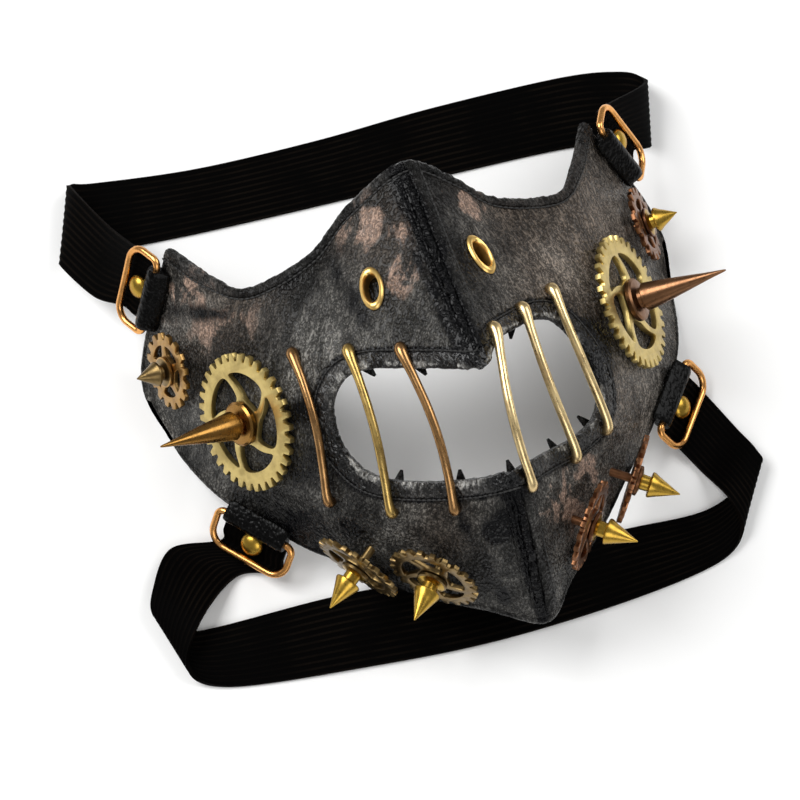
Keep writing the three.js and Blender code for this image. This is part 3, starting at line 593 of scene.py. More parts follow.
def leather_finish(name, dark, mid, wear_and_sheen, gloss=0.1, stroke_turn=0.0):
    """Pebbled hide: dark hollows, light pebble crowns and flecks in drifts that are partly paint and partly
    painted glints, broad painted shade, warm haze, pale patches of rubbed paint, and dark places partly
    polished and partly painted shade.
    """
    s = Shading(name)
    along = s.stretched((1.0, 0.7, 0.8), stroke_turn)
    crown = s.ramp(s.cells(HIDE_SCALES["pebbles"], along), 0.56, 0.14)
    fine = s.noise(HIDE_SCALES["fine"], 2, 0.5, along)
    stroke = s.noise(HIDE_SCALES["stroke"], 3, 0.55, s.stretched((1.0, 0.26, 0.6), stroke_turn), 0.2)
    drift = s.noise(HIDE_SCALES["drift"], 5, 0.62, s.stretched((1.0, 0.45, 0.8), stroke_turn), 0.4)
    # Fine flecks and brush strokes made lighter: partly paint, partly painted glints in place of light on the
    # pebbles
    fleck_and_glint = s.math("MAXIMUM", s.ramp(fine, 0.51, 0.69), s.ramp(stroke, 0.52, 0.69, 0.0, 0.9))
    grain_and_glint = s.math("ADD", s.math("MULTIPLY", crown, 0.36), s.math("MULTIPLY", fleck_and_glint, 0.64))
    # Broad painted shade: clouds and drifts make the colour darker or lighter at random
    cloud = s.ramp(s.noise(HIDE_SCALES["cloud"], 4, 0.55), 0.38, 0.62, 0.05, 1.0)
    shade = s.math("MULTIPLY", cloud, s.ramp(drift, 0.36, 0.63, 0.2, 1.0))
    color = s.mix(s.math("MULTIPLY", s.ramp(grain_and_glint, 0.0, 0.9, 0.16, 1.0), shade), dark, mid)
    rough = s.ramp(grain_and_glint, 0.0, 1.0, 0.24, 0.36)
    if wear_and_sheen:
        pale, warm = wear_and_sheen
        hold = s.ramp(grain_and_glint, 0.0, 0.85, 0.18, 1.0)
        haze = s.math("MULTIPLY", s.attribute("haze"), s.ramp(drift, 0.3, 0.7, 0.45, 1.0))
        color = s.mix(s.math("MULTIPLY", haze, hold), color, warm)
        # Pale rubbed paint; on the lip band the pale raw edge with a painted highlight
        patch = s.ramp(s.math("ADD", s.attribute("rub_and_glint"), s.ramp(drift, 0.34, 0.66, -0.5, 0.4)), 0.35, 0.75)
        color = s.mix(s.math("MULTIPLY", patch, s.ramp(grain_and_glint, 0.0, 0.7, 0.3, 1.0)), color, pale)
        # Dark places, partly polished leather and partly painted shade: near black and a little glossier
        polish_and_shade = s.ramp(s.math("ADD", s.attribute("dark"), s.ramp(drift, 0.3, 0.7, -0.25, 0.25)), 0.25, 0.7)
        color = s.mix(polish_and_shade, color, POLISH_AND_SHADE)
        rough = s.math("SUBTRACT", rough, s.math("MULTIPLY", polish_and_shade, 0.1))
    normal = s.bump(s.noise(HIDE_SCALES["swell"], 4, 0.55), 0.0006, 0.35)
    normal = s.bump(crown, 0.0004, 1.0 if wear_and_sheen else 0.3, normal)
    normal = s.bump(s.math("MAXIMUM", fine, stroke), 0.00016, 0.8 if wear_and_sheen else 0.3, normal)
    return s.finish(color, rough, normal, Specular_IOR_Level=gloss)


def elastic_finish():
    """Black woven elastic with a fine cross weave, the crowns of its ribs catching the light."""
    s = Shading("elastic_weave")
    weave = s.noise(2600, 2, 0.5, s.stretched((0.5, 1.0, 1.0)))
    crown = s.math("COSINE", s.math("MULTIPLY", s.attribute("across"), 2 * math.pi * STRAP_RIBS))
    # Painted highlight on the crowns of the ribs, broken up at random
    wear_and_sheen = s.math("MULTIPLY", s.ramp(crown, 0.0, 1.0), s.ramp(s.noise(45, 3), 0.38, 0.62, 0.15, 1.0))
    color = s.mix(wear_and_sheen, rgb(0.0004, 0.0003, 0.0003), rgb(0.0055, 0.0038, 0.0026))
    color = s.mix(s.ramp(weave, 0.35, 0.7, 0.4, 0.0), color, rgb(0.0004, 0.0003, 0.0003))
    normal = s.bump(weave, 0.00012, 0.6)
    return s.finish(color, 0.7, normal, Specular_IOR_Level=0.025)


def metal_finish(name, bright, dull, roughness, speckle=0.5, ends=False):
    """Plated metal with a duller tarnish in clouds and fine scuffs, deeper towards ends that are marked."""
    s = Shading(name)
    cloud = s.noise(170, 5, 0.6)
    scuff = s.noise(900, 4, 0.6, s.stretched((1.0, 0.3, 0.7)))
    tarnish = s.math("MULTIPLY", s.ramp(cloud, 0.42, 0.68), speckle)
    tarnish = s.math("ADD", tarnish, s.math("MULTIPLY", s.ramp(scuff, 0.55, 0.75), 0.35 * speckle))
    if ends:
        tarnish = s.math("MAXIMUM", tarnish, s.math("MULTIPLY", s.attribute("tarnished"), 0.85))
    color = s.mix(tarnish, bright, dull)
    rough = s.ramp(scuff, 0.3, 0.75, roughness - 0.04, roughness + 0.09)
    normal = s.bump(scuff, 0.00005, 0.22)
    return s.finish(color, rough, normal, Metallic=1.0)


def thread_finish():
    s = Shading("waxed_thread")
    twist = s.noise(3000, 2, 0.5)
    color = s.mix(twist, rgb(0.004, 0.004, 0.004), rgb(0.02, 0.019, 0.018))
    return s.finish(color, 0.5, s.bump(twist, 0.00008, 0.6))


HIDE_DARK, HIDE_MID = rgb(0.002, 0.002, 0.002), rgb(0.31, 0.298, 0.272)
HIDE_WORN = rgb(0.46, 0.31, 0.235), rgb(0.35, 0.278, 0.22)
HIDE_GLOSS, HIDE_TURNS = 0.15, {"left": math.radians(-32), "right": math.radians(8)}
HIDES = {
    word: leather_finish(f"painted_hide_{word}", HIDE_DARK, HIDE_MID, HIDE_WORN, HIDE_GLOSS, way)
    for word, way in HIDE_TURNS.items()
}
BINDING_WORN = rgb(0.16, 0.12, 0.1), rgb(0.07, 0.058, 0.05)
BINDING = leather_finish("binding_hide", rgb(0.003, 0.003, 0.003), rgb(0.19, 0.184, 0.172), BINDING_WORN)
# Pale of the lip's raw edge, partly cut leather and partly painted highlight, and warm haze
LIP_WEAR_AND_GLINT = rgb(0.5, 0.49, 0.46), rgb(0.07, 0.058, 0.05)
LIP_HIDE = leather_finish("lip_hide", rgb(0.0025, 0.0025, 0.0025), rgb(0.16, 0.155, 0.148), LIP_WEAR_AND_GLINT, 0.3)
BLACK_HIDE = leather_finish("black_hide", rgb(0.0012, 0.0012, 0.0012), rgb(0.006, 0.0055, 0.005), None)
ELASTIC = elastic_finish()
EYELET_GOLD = metal_finish("eyelet_gold", rgb(0.9, 0.6, 0.2), rgb(0.5, 0.28, 0.08), 0.34, 0.3)
BAR_METALS = {
    "pale": metal_finish("bar_pale_gold", rgb(0.88, 0.68, 0.35), rgb(0.26, 0.13, 0.05), 0.28, 0.4, True),
    "gold": metal_finish("bar_gold", rgb(0.62, 0.43, 0.14), rgb(0.2, 0.1, 0.03), 0.27, 0.4, True),
    "bronze": metal_finish("bar_bronze", rgb(0.42, 0.235, 0.095), rgb(0.13, 0.058, 0.022), 0.26, 0.4, True),
}
GOLD = metal_finish("aged_gold", rgb(0.45, 0.27, 0.095), rgb(0.15, 0.07, 0.025), 0.32)
COPPER_GOLD = metal_finish("copper_gold", rgb(0.86, 0.42, 0.13), rgb(0.4, 0.16, 0.045), 0.24, 0.35)
PALE_BRASS = metal_finish("pale_brass", rgb(0.65, 0.505, 0.195), rgb(0.2, 0.135, 0.05), 0.38, 0.4)
DARK_BRASS = metal_finish("dark_brass", rgb(0.22, 0.15, 0.062), rgb(0.06, 0.034, 0.016), 0.32)
BRONZE = metal_finish("warm_bronze", rgb(0.32, 0.165, 0.042), rgb(0.09, 0.042, 0.012), 0.25, 0.2)
BROWN_COPPER = metal_finish("brown_copper", rgb(0.21, 0.105, 0.052), rgb(0.07, 0.032, 0.016), 0.3, 0.2)
DARK_BRONZE = metal_finish("dark_bronze", rgb(0.22, 0.1, 0.048), rgb(0.06, 0.026, 0.014), 0.32)
CONE_GOLD = metal_finish("cone_gold", rgb(0.5, 0.31, 0.05), rgb(0.2, 0.11, 0.02), 0.28, 0.25)
THREAD = thread_finish()


# Geometry Nodes: stitches along a path, and ribs across a band

def new_tree(name, *sizes):
    """Tree that takes a geometry, sizes and a material, with what it is given and where its result goes."""
    tree = bpy.data.node_groups.new(name, "GeometryNodeTree")
    kinds = {"Geometry": "Geometry", **{size: "Float" for size in sizes}, "Material": "Material"}
    for label, kind in kinds.items():
        tree.interface.new_socket(label, in_out="INPUT", socket_type="NodeSocket" + kind)
    tree.interface.new_socket("Geometry", in_out="OUTPUT", socket_type="NodeSocketGeometry")
    start, stop = add_node(tree, "NodeGroupInput"), add_node(tree, "NodeGroupOutput")
    return tree, start.outputs, stop.inputs["Geometry"]


def end_tree(tree, geometry, given, result):
    """Instances made real and given their material, as the tree's result."""
    real = add_node(tree, "GeometryNodeRealizeInstances", {"Geometry": geometry}).outputs["Geometry"]
    painted = add_node(tree, "GeometryNodeSetMaterial", {"Geometry": real, "Material": given["Material"]})
    tree.links.new(painted.outputs["Geometry"], result)
    return tree


def stitch_tree():
    """Short thread stitches, one at each step of a path, lying along it."""
    tree, given, result = new_tree("stitch_row", "Spacing", "Length", "Thread")
    curve = add_node(tree, "GeometryNodeMeshToCurve", {"Mesh": given["Geometry"]}).outputs["Curve"]
    spaced = {"Curve": curve, "Length": given["Spacing"]}
    steps = add_node(tree, "GeometryNodeResampleCurve", spaced, mode="LENGTH").outputs["Curve"]
    bead = add_node(tree, "GeometryNodeMeshUVSphere", {"Segments": 8, "Rings": 6, "Radius": 1.0})
    sizes = {"X": given["Thread"], "Y": given["Thread"], "Z": given["Length"]}
    size = add_node(tree, "ShaderNodeCombineXYZ", sizes).outputs["Vector"]
    stitch = add_node(tree, "GeometryNodeTransform", {"Geometry": bead.outputs["Mesh"], "Scale": size})
    tangent = add_node(tree, "GeometryNodeInputTangent").outputs["Tangent"]
    aim = add_node(tree, "FunctionNodeAlignRotationToVector", {"Vector": tangent}, axis="Z")
    row = {"Points": steps, "Instance": stitch.outputs["Geometry"], "Rotation": aim.outputs["Rotation"]}
    place = add_node(tree, "GeometryNodeInstanceOnPoints", row)
    return end_tree(tree, place.outputs["Instances"], given, result)


def rib_tree():
    """Lengthwise ribs on a band whose points know their share of the way across it."""
    tree, given, result = new_tree("band_ribs", "Ribs", "Depth")

    def times(a, b):
        return add_node(tree, "ShaderNodeMath", {0: a, 1: b}, operation="MULTIPLY").outputs["Value"]

    across = add_node(tree, "GeometryNodeInputNamedAttribute", {"Name": "across"}, data_type="FLOAT")
    angle = times(times(across.outputs["Attribute"], given["Ribs"]), 2 * math.pi)
    wave = add_node(tree, "ShaderNodeMath", {0: angle}, operation="COSINE").outputs["Value"]
    normal = add_node(tree, "GeometryNodeInputNormal").outputs["Normal"]
    push = {"Vector": normal, "Scale": times(wave, given["Depth"])}
    offset = add_node(tree, "ShaderNodeVectorMath", push, operation="SCALE").outputs["Vector"]
    ribbed = add_node(tree, "GeometryNodeSetPosition", {"Geometry": given["Geometry"], "Offset": offset})
    return end_tree(tree, ribbed.outputs["Geometry"], given, result)


def grow(obj, tree, **values):
    """The object after the tree has run on it with these inputs."""
    modifier = obj.modifiers.new(tree.name, "NODES")
    modifier.node_group = tree
    for item in tree.interface.items_tree:
        key = item.name.lower()
        if item.in_out == "INPUT" and key in values:
            modifier[item.identifier] = values[key]
    return baked(obj)


STITCH_ROW = stitch_tree()
BAND_RIBS = rib_tree()


def stitches(name, run, size, closed_path=False):
    """Row of stitches along a run of the leather's edge."""
    p, n = run(size["in"])
    points = lie(p + n * size["lift"])
    if closed_path:
        points = np.concatenate([points, points[:1]])
    mesh = bpy.data.meshes.new(name)
    mesh.from_pydata([tuple(p) for p in points], [(i, i + 1) for i in range(len(points) - 1)], [])
    obj = add_object(name, mesh)
    sizes = {key: size[key] * MM for key in ("spacing", "length", "thread")}
    grow(obj, STITCH_ROW, material=THREAD, **sizes)
    smooth(obj.data, 60)
    return settle(obj, "leather")


# Leather halves

def spread(places, x, y):
    """How far each point lies within soft round places, from 0 to 1."""
    total = np.zeros(len(x))
    for place in places:
        away = np.hypot(x - place["x"], y - place["y"]) / place["reach"]
        total = np.maximum(total, place["strength"] * np.exp(-(away**2)))
    return total


def wavy(points, scale, seed):
    return np.array([noise.noise(Vector(p) * scale + Vector((seed, 0, 0))) for p in points])


def folds(p):
    """Height of the soft folds and the hide's own unevenness at points of the mask's frame."""
    height = sum(row["high"] * wavy(p, row["scale"], row["seed"]) for row in UNEVEN)
    for fold in FOLDS:
        part, away = beside(fold, p)
        fade = np.clip(np.minimum(part, 1 - part) * 4, 0, 1)
        height += fold["high"] * fade * np.exp(-((away / fold["wide"]) ** 2))
    return height


def half_points(side):
    """Outer and inner points of one half, the ridge mitred against the other half."""
    i, j = np.meshgrid(np.arange(RIB_STEPS + 1), np.arange(LEVEL_STEPS + 1), indexing="ij")
    rib, level = RIB_END * i.ravel() / RIB_STEPS, LEVEL_END * j.ravel() / LEVEL_STEPS
    p, n = face(side, rib, level), face_normal(side, rib, level)
    edge = np.minimum(np.minimum(level, LEVEL_END - level), RIB_END - rib)
    fade = np.clip(edge * EDGE_FADE, 0, 1) * np.clip(rib * RIDGE_FADE, 0, 1)
    p = p + n * (folds(p) * fade)[:, None]
    at_ridge = rib == 0
    mitre = n[at_ridge] * [0, 1, 1]
    n[at_ridge] = mitre / (mitre**2).sum(axis=1, keepdims=True)
    return p, p - n * LEATHER


def half_faces():
    row = LEVEL_STEPS + 1
    sheet = (RIB_STEPS + 1) * row
    faces = []
    for i in range(RIB_STEPS):
        for j in range(LEVEL_STEPS):
            a = i * row + j
            faces.append((a, a + row, a + row + 1, a + 1))
            faces.append((sheet + a, sheet + a + 1, sheet + a + row + 1, sheet + a + row))
        jaw, top = i * row, i * row + LEVEL_STEPS
        faces.append((jaw, sheet + jaw, sheet + jaw + row, jaw + row))
        faces.append((top, top + row, sheet + top + row, sheet + top))
    for j in range(LEVEL_STEPS):
        rear = RIB_STEPS * row + j
        faces.append((j, j + 1, sheet + j + 1, sheet + j))
        faces.append((rear, sheet + rear, sheet + rear + 1, rear + 1))
    return faces


def mouth_outline(count, out=0.0):
    """Closed outline of the mouth on x and y, moved outwards."""
    loop = np.array([*MOUTH, *MOUTH[:3]], float)
    at = 1 + np.arange(count) * len(MOUTH) / count
    p = through(loop, at)
    ahead = np.roll(p, -1, axis=0) - np.roll(p, 1, axis=0)
    normal = unit(np.stack([-ahead[:, 1], ahead[:, 0]], axis=1))
    inside = p.mean(axis=0) - p
    normal *= -np.sign((normal * inside).sum(axis=1, keepdims=True))
    return p + normal * out


def prism(name, outline, low, high):
    """Upright block on the mask's own frame, to cut with."""
    rings = [lie(np.column_stack([outline, np.full(len(outline), z)])) for z in (low, high)]
    return loft(name, rings, None)


def cut(obj, cutters):
    for cutter in cutters:
        modifier = obj.modifiers.new("cut", "BOOLEAN")
        modifier.operation = "DIFFERENCE"
        modifier.solver = "MANIFOLD"
        modifier.object = cutter
        baked(obj)
    for cutter in cutters:
        bpy.data.objects.remove(cutter)
    return obj


def beside(run, p):
    """How far along a straight run on x and y each point lies, and how far from it."""
    start, way = np.array(run["from"], float), np.array(run["to"], float) - np.array(run["from"], float)
    part = ((p[:, :2] - start) @ way) / (way @ way)
    away = np.linalg.norm(p[:, :2] - start - np.clip(part, 0, 1)[:, None] * way, axis=1)
    return part, away


def lip_distance(p):
    """Distance on x and y from the edge of the mouth."""
    outline = mouth_outline(NEAR_POINTS)
    return np.linalg.norm(p[:, None, :2] - outline[None], axis=2).min(axis=1)


def darkness(p):
    """Darkness of partly polished leather and partly painted shade: round places, straight runs, and the
    groove round the lip band.
    """
    total = spread(DARKS, p[:, 0], p[:, 1])
    for run in DARK_RUNS:
        _, away = beside(run, p)
        total = np.maximum(total, run["strength"] * np.exp(-((away / run["wide"]) ** 2)))
    groove = np.exp(-(((lip_distance(p) - LIP_WIDE - 0.6) / 1.0) ** 2))
    return np.maximum(total, 0.85 * groove)


def colour_wear_and_shade(obj):
    """Rub, haze and dark attributes of a leather piece, the dark one partly polished leather and partly
    painted shade, from where its points lie on the face.
    """
    p = stand_up(points_of(obj))
    x, y = p[:, 0], p[:, 1]
    set_values(obj, "rub_and_glint", spread(RUBS, x, y))
    set_values(obj, "haze", spread(HAZES, x, y))
    set_values(obj, "dark", darkness(p))


def leather_half(side, word):
    outer, inner = half_points(side)
    points = lie(np.concatenate([outer, inner]))
    points[:, 2] = np.maximum(points[:, 2], 0)
    half = add_mesh(f"hide_{word}", points, half_faces(), HIDES[word])
    eyelet = eyelet_place(f"nostril_eyelet_{word}", side) @ OVAL
    radius, reach = EYELET["barrel"] - EYELET_CUT["slack"], EYELET_CUT["reach"]
    rows = [(0, -reach), (radius, -reach), (radius, reach), (0, reach)]
    hole = turned("eyelet_hole", rows, SIDES_ROUND["hole"], eyelet, None)
    cut(half, [prism("mouth_block", mouth_outline(CUT_POINTS), *MOUTH_BLOCK), hole])
    smooth(half.data, 38)
    colour_wear_and_shade(half)
    return settle(half, "leather", f"panel_{word}")


# Bands sewn along the edges of the leather

def edge_run(side, ribs, levels, reach_rib=0.0, reach_level=0.0):
    """Function from a distance in millimetres to points and normals that far in from an edge of the face."""
    ribs, levels = np.asarray(ribs, float), np.asarray(levels, float)
    base = face(side, ribs, levels)
    probe = 0.05
    further = face(side, ribs + probe * reach_rib, levels + probe * reach_level)
    step = np.linalg.norm(further - base, axis=1) / probe
    outward = unit(base - further)

    def at(inward):
        inner = max(inward, 0.0)
        rib, level = ribs + reach_rib * inner / step, levels + reach_level * inner / step
        p, n = face(side, rib, level), face_normal(side, rib, level)
        return p + outward * max(-inward, 0.0), n

    return at


def mouth_run(count):
    """The same for the mouth's edge, inwards meaning away from the opening."""
    def at(inward):
        outline = mouth_outline(count, max(inward, 0.0))
        p, n = on_leather(outline, 0.0)
        if inward < 0:
            wider, _ = on_leather(mouth_outline(count, 1.0), 0.0)
            p = p + unit(p - wider) * -inward
        return p, n

    return at


def hem_profile(hem):
    """Rows of distance in from the edge and height, round a turned-over edge and back along the leather."""
    wide, proud, back, wall = (hem[key] for key in ("wide", "proud", "back", "wall"))
    under = -LEATHER - 2 * HUG
    return [
        (wide, HUG), (wide - 0.25, proud * 0.75), (wide - 0.9, proud), (wide * 0.45, proud * 1.12),
        (0.3, proud), (-wall * 0.75, proud * 0.2), (-wall, -LEATHER * 0.5),
        (-wall * 0.7, under - proud * 0.2), (0.4, under - proud * 0.7), (back, under - proud * 0.7),
        (back + 0.1, under), (-HUG, under), (-HUG, HUG),
    ]


def sewn_band(name, run, profile, finish, ripple, closed_path=False, seed=0):
    """Band with a profile hugging the leather along a run, rippled by one amount or one for each point."""
    rows = []
    for inward, lift in profile:
        p, n = run(inward)
        if lift > HUG:
            lift = lift + ripple * (wavy(p, 0.45, seed) + 0.5 * wavy(p, 1.1, seed + 5))
        if inward < 0.4:
            p = p + 0.6 * np.reshape(ripple * wavy(p, 0.7, seed + 9), (-1, 1)) * [1.0, 1.0, 0.0]
        rows.append(lie(p + n * np.reshape(lift, (-1, 1))))
    rings = np.stack(rows, axis=1)
    rings[..., 2] = np.maximum(rings[..., 2], 0)
    band = loft(name, rings, finish, closed_path, 50)
    colour_wear_and_shade(band)
    return settle(band, "leather")


def edge_bands(side, word):
    even, along = np.linspace(0.0, 1.0, EDGE_POINTS), np.ones(EDGE_POINTS)
    runs = {
        "top_hem": edge_run(side, even * RIB_END, along * LEVEL_END, reach_level=-1.0),
        "jaw_edge": edge_run(side, even * RIB_END, along * 0, reach_level=1.0),
        "rear_edge": edge_run(side, along * RIB_END, even * LEVEL_END, reach_rib=-1.0),
    }
    for name, run in runs.items():
        hem = HEMS[name]
        sewn_band(f"{name}_{word}", run, hem_profile(hem), BINDING, hem["ripple"], seed=hem["seed"])
        if name in STITCHES:
            stitches(f"{name}_stitches_{word}", run, STITCHES[name])


def ridge_levels():
    """Stretches of the ridge above and below the mouth, as shares of the way up."""
    _, lip = find_on_face(1, [(RIDGE_SHIFT + 0.5, 86)])
    _, under = find_on_face(1, [(RIDGE_SHIFT + 0.5, 44)])
    return {"nose": (lip[0], LEVEL_END - 0.06), "chin": (0.06, under[0])}


RIDGE_STRIP = [(4.6, 0.04), (4.45, 0.55), (3.6, 0.95), (2.4, 1.05), (1.3, 0.9), (0.75, 0.55), (0.6, 0.04)]
# Narrow puckers of leather left of the ridge seam: distance from it, half width, height
RIDGE_PUCKERS = table(
    "in wide high",
    (0.7, 1.0, 1.25), (2.3, 0.55, 0.7), (3.5, 0.6, 0.5), (5.0, 0.4, 0.35),
)


def pucker(name, run, size, seed):
    """Narrow wavy fold along a run, thinning out towards both ends."""
    p, n = run(size["in"])
    across, _ = run(size["in"] + 1.0)
    side_way = unit(across - p)
    share = np.linspace(0, 1, len(p))
    thin = np.minimum(1.0, 6 * np.minimum(share, 1 - share)) * 0.9 + 0.1
    sway = 0.6 * wavy(p, 0.16, seed) + 0.35 * wavy(p, 0.6, seed + 3)
    swell = thin * (1.0 + 0.4 * wavy(p, 0.3, seed + 7) + 0.45 * wavy(p, 1.1, seed + 11))
    rings = []
    for angle in np.linspace(0, 2 * math.pi, 10, endpoint=False):
        aside = np.reshape(sway + size["wide"] * swell * math.cos(angle), (-1, 1)) * side_way
        high = size["high"] * swell * (0.5 + 0.5 * math.sin(angle)) - 0.1
        rings.append(lie(p + aside + n * np.reshape(high, (-1, 1))))
    fold = loft(name, np.stack(rings, axis=1), BINDING, smooth_angle=60)
    colour_wear_and_shade(fold)
    return settle(fold, "leather")


def ridge_strips():
    for word, (low, high) in ridge_levels().items():
        levels, ridge = np.linspace(low, high, RIDGE_POINTS), np.zeros(RIDGE_POINTS)
        run = edge_run(1, ridge, levels, reach_rib=1.0)
        sewn_band(f"ridge_strip_{word}", run, RIDGE_STRIP, BINDING, RIDGE_RIPPLE, seed=8)
        stitches(f"ridge_stitches_{word}", run, STITCHES["ridge"])
        left = edge_run(-1, ridge, levels, reach_rib=1.0)
        for number, size in enumerate(RIDGE_PUCKERS, 1):
            pucker(f"ridge_pucker_{word}_{number}", left, size, 20 + number)


# Crumpled places on the lip band, on x and y
LIP_CRUMPLES = table(
    "x y reach strength",
    (3, 48, 8, 1.0), (6, 82, 7, 0.7), (-34, 88, 8, 0.3), (40, 70, 12, 0.7), (-38, 72, 12, 0.4),
)
# The raw edge of the lip, pale cut leather with a painted highlight where it catches the light: how pale it
# is and how far in
RAW_EDGE_AND_GLINT = dict(pale=0.9, reach=0.75)


def lip_band():
    hem, run = HEMS["lip_band"], mouth_run(LIP_POINTS)
    outline = mouth_outline(LIP_POINTS)
    ripple = hem["ripple"] + 1.1 * spread(LIP_CRUMPLES, outline[:, 0], outline[:, 1])
    band = sewn_band("lip_band", run, hem_profile(hem), LIP_HIDE, ripple, closed_path=True, seed=hem["seed"])
    # Pale raw edge along the mouth with its painted highlight, in place of rubbed paint
    near = lip_distance(stand_up(points_of(band)))
    set_values(band, "rub_and_glint", RAW_EDGE_AND_GLINT["pale"] * np.exp(-((near / RAW_EDGE_AND_GLINT["reach"]) ** 2)))
    stitches("lip_stitches", run, STITCHES["lip"], closed_path=True)


# Black tips of the ties behind each lip, by the number of the bar they lie beside, towards the ridge
LIP_TIES = {"upper": (2, 3, 5), "lower": (2, 3, 4, 5, 6)}
TIE = dict(aside=2.4, back=3.0, out=3.2, wide=4.4, thick=0.9, behind=2.9)


def lip_ties():
    outline = mouth_outline(TIE_POINTS)
    middle = outline.mean(axis=0)
    for lip, number in [(lip, number) for lip, numbers in LIP_TIES.items() for number in numbers]:
        bar = BARS[number - 1]
        top, foot = np.array(bar["top"], float), np.array(bar["foot"], float)
        part = (top[1] - outline[:, 1]) / (top[1] - foot[1])
        x = top[0] + (foot[0] - top[0]) * part
        x = x + TIE["aside"] * np.sign(RIDGE_SHIFT - x)
        half = outline[:, 1] > middle[1] if lip == "upper" else outline[:, 1] < middle[1]
        at = np.where(half, np.abs(outline[:, 0] - x), np.inf).argmin()
        way = unit(unit(middle - outline[at]) * [0.35, 1.0])
        shares = np.linspace(0, 1, 9)
        line = outline[at] + np.outer(shares * (TIE["back"] + TIE["out"]) - TIE["back"], way)
        root, normal = on_leather([outline[at] - way * TIE["back"]], -TIE["behind"])
        path = root + np.column_stack([line - line[0], 0 * shares])
        across = unit(np.cross(normal[0], [*way, 0.0]))
        rings = []
        for p, share in zip(path, shares):
            wide = TIE["wide"] / 2 * (1.0 - 0.8 * share**1.3)
            thick = TIE["thick"] / 2 * (1.0 - 0.5 * share)
            corners = [(1, 0.6), (0.7, 1), (-0.7, 1), (-1, 0.6), (-1, -0.6), (-0.7, -1), (0.7, -1), (1, -0.6)]
            rings.append(lie(np.array([p + across * wide * u + normal[0] * thick * v for u, v in corners])))
        settle(loft(f"lip_tie_{lip}_{number}", rings, BLACK_HIDE, smooth_angle=60), "leather")


# Metal fittings

def gear_outlines(kind):
    """Outline of a gear's teeth and of the windows between its spokes, on its own plane."""
    pitch = 2 * math.pi / kind["teeth"]
    outer = [
        (kind[part] * math.cos((tooth + at) * pitch), kind[part] * math.sin((tooth + at) * pitch))
        for tooth in range(kind["teeth"]) for at, part in TOOTH
    ]
    window = 2 * math.pi / kind["spokes"]
    windows = []
    for spoke in range(kind["spokes"]):
        sides = []
        for first in (True, False):
            edge = []
            for share in np.linspace(0, 1, WINDOW_STEPS + 1):
                radius = kind["hub"] + (kind["rim"] - kind["hub"]) * share
                half = kind["spoke"] * (SPOKE_FLARE + (SPOKE_TIP - SPOKE_FLARE) * share) / 2 / radius
                at = (spoke + (0 if first else 1)) * window + kind["sweep"] * share
                edge.append((radius, at + (half if first else -half)))
            sides.append(edge)
        rim_turns = np.linspace(sides[0][-1][1], sides[1][-1][1], WINDOW_STEPS + 3)[1:-1]
        rim = [(kind["rim"], a) for a in rim_turns]
        hub = [(kind["hub"], a) for a in np.linspace(sides[1][0][1], sides[0][0][1], 5)[1:-1]]
        loop = [*sides[0], *rim, *reversed(sides[1]), *hub]
        windows.append(rounded([(r * math.cos(a), r * math.sin(a)) for r, a in loop]))
    return outer, windows


def rounded(loop):
    """Loop with its corners eased by averaging each point with its neighbours."""
    p = np.array(loop)
    for _ in range(2):
        p = 0.5 * p + 0.25 * (np.roll(p, 1, axis=0) + np.roll(p, -1, axis=0))
    return p


def gear(name, place, kind, finish):
    """Stamped gear disc with eased edges, in the place of its node."""
    outer, windows = gear_outlines(kind)
    curve = bpy.data.curves.new(name, "CURVE")
    curve.dimensions = "2D"
    curve.fill_mode = "BOTH"
    curve.bevel_depth = GEAR_BEVEL * MM
    curve.bevel_resolution = 1
    curve.offset = -GEAR_BEVEL * MM
    curve.extrude = (kind["thick"] / 2 - GEAR_BEVEL) * MM
    for loop in [outer, *windows]:
        spline = curve.splines.new("POLY")
        spline.points.add(len(loop) - 1)
        spline.points.foreach_set("co", [v for x, y in loop for v in (x * MM, y * MM, 0.0, 1.0)])
        spline.use_cyclic_u = True
    flat = add_object(name + "_outline", curve)
    mesh = made_mesh(flat)
    bpy.data.objects.remove(flat)
    mesh.transform(place @ Matrix.Translation((0, 0, kind["thick"] / 2 * MM)))
    mesh.materials.clear()
    mesh.materials.append(finish)
    obj = add_object(name + "_disc", mesh)
    outwards(mesh)
    smooth(mesh, 30)
    return settle(obj, "antique_brass", name)


def spike(name, place, kind, thick, finish, collar_finish, slot):
    """Spike with a collar, a neck and a slim cone on its gear, the post and collar in their own metal."""
    deep, _ = reach_along(name, place)
    collar, neck, base, length = (kind[key] for key in ("collar", "neck", "base", "length"))
    foot = thick + GAP
    neck_foot = foot + kind["collar_high"]
    cone_foot = neck_foot + kind["neck_high"]
    tip = cone_foot + length
    rows = [
        (0, deep), (SPIKE_POST, deep), (SPIKE_POST, foot), (collar * 0.96, foot), (collar, foot + 0.25),
        (collar, foot + kind["collar_high"] * 0.62), (collar * 0.9, neck_foot - 0.35),
        (neck * 1.35, neck_foot - 0.1), (neck * 1.04, neck_foot + 0.15), (neck, cone_foot - 0.15),
        (base * 0.93, cone_foot), (base, cone_foot + 0.3), (base * 0.99, cone_foot + 0.8),
        (base * 0.76, cone_foot + length * 0.28), (base * 0.5, cone_foot + length * 0.54),
        (base * 0.26, cone_foot + length * 0.77), (0.35, tip - 0.5), (0.18, tip - 0.12), (0, tip),
    ]
    obj = turned(name + "_turned", rows, SIDES_ROUND["spike"], place, finish)
    obj.data.materials.append(collar_finish)
    up, seat = place.to_3x3().col[2], place.to_translation()
    for polygon in obj.data.polygons:
        polygon.material_index = int((polygon.center - seat).dot(up) < (neck_foot - GAP) * MM)
    return settle(obj, slot, name)


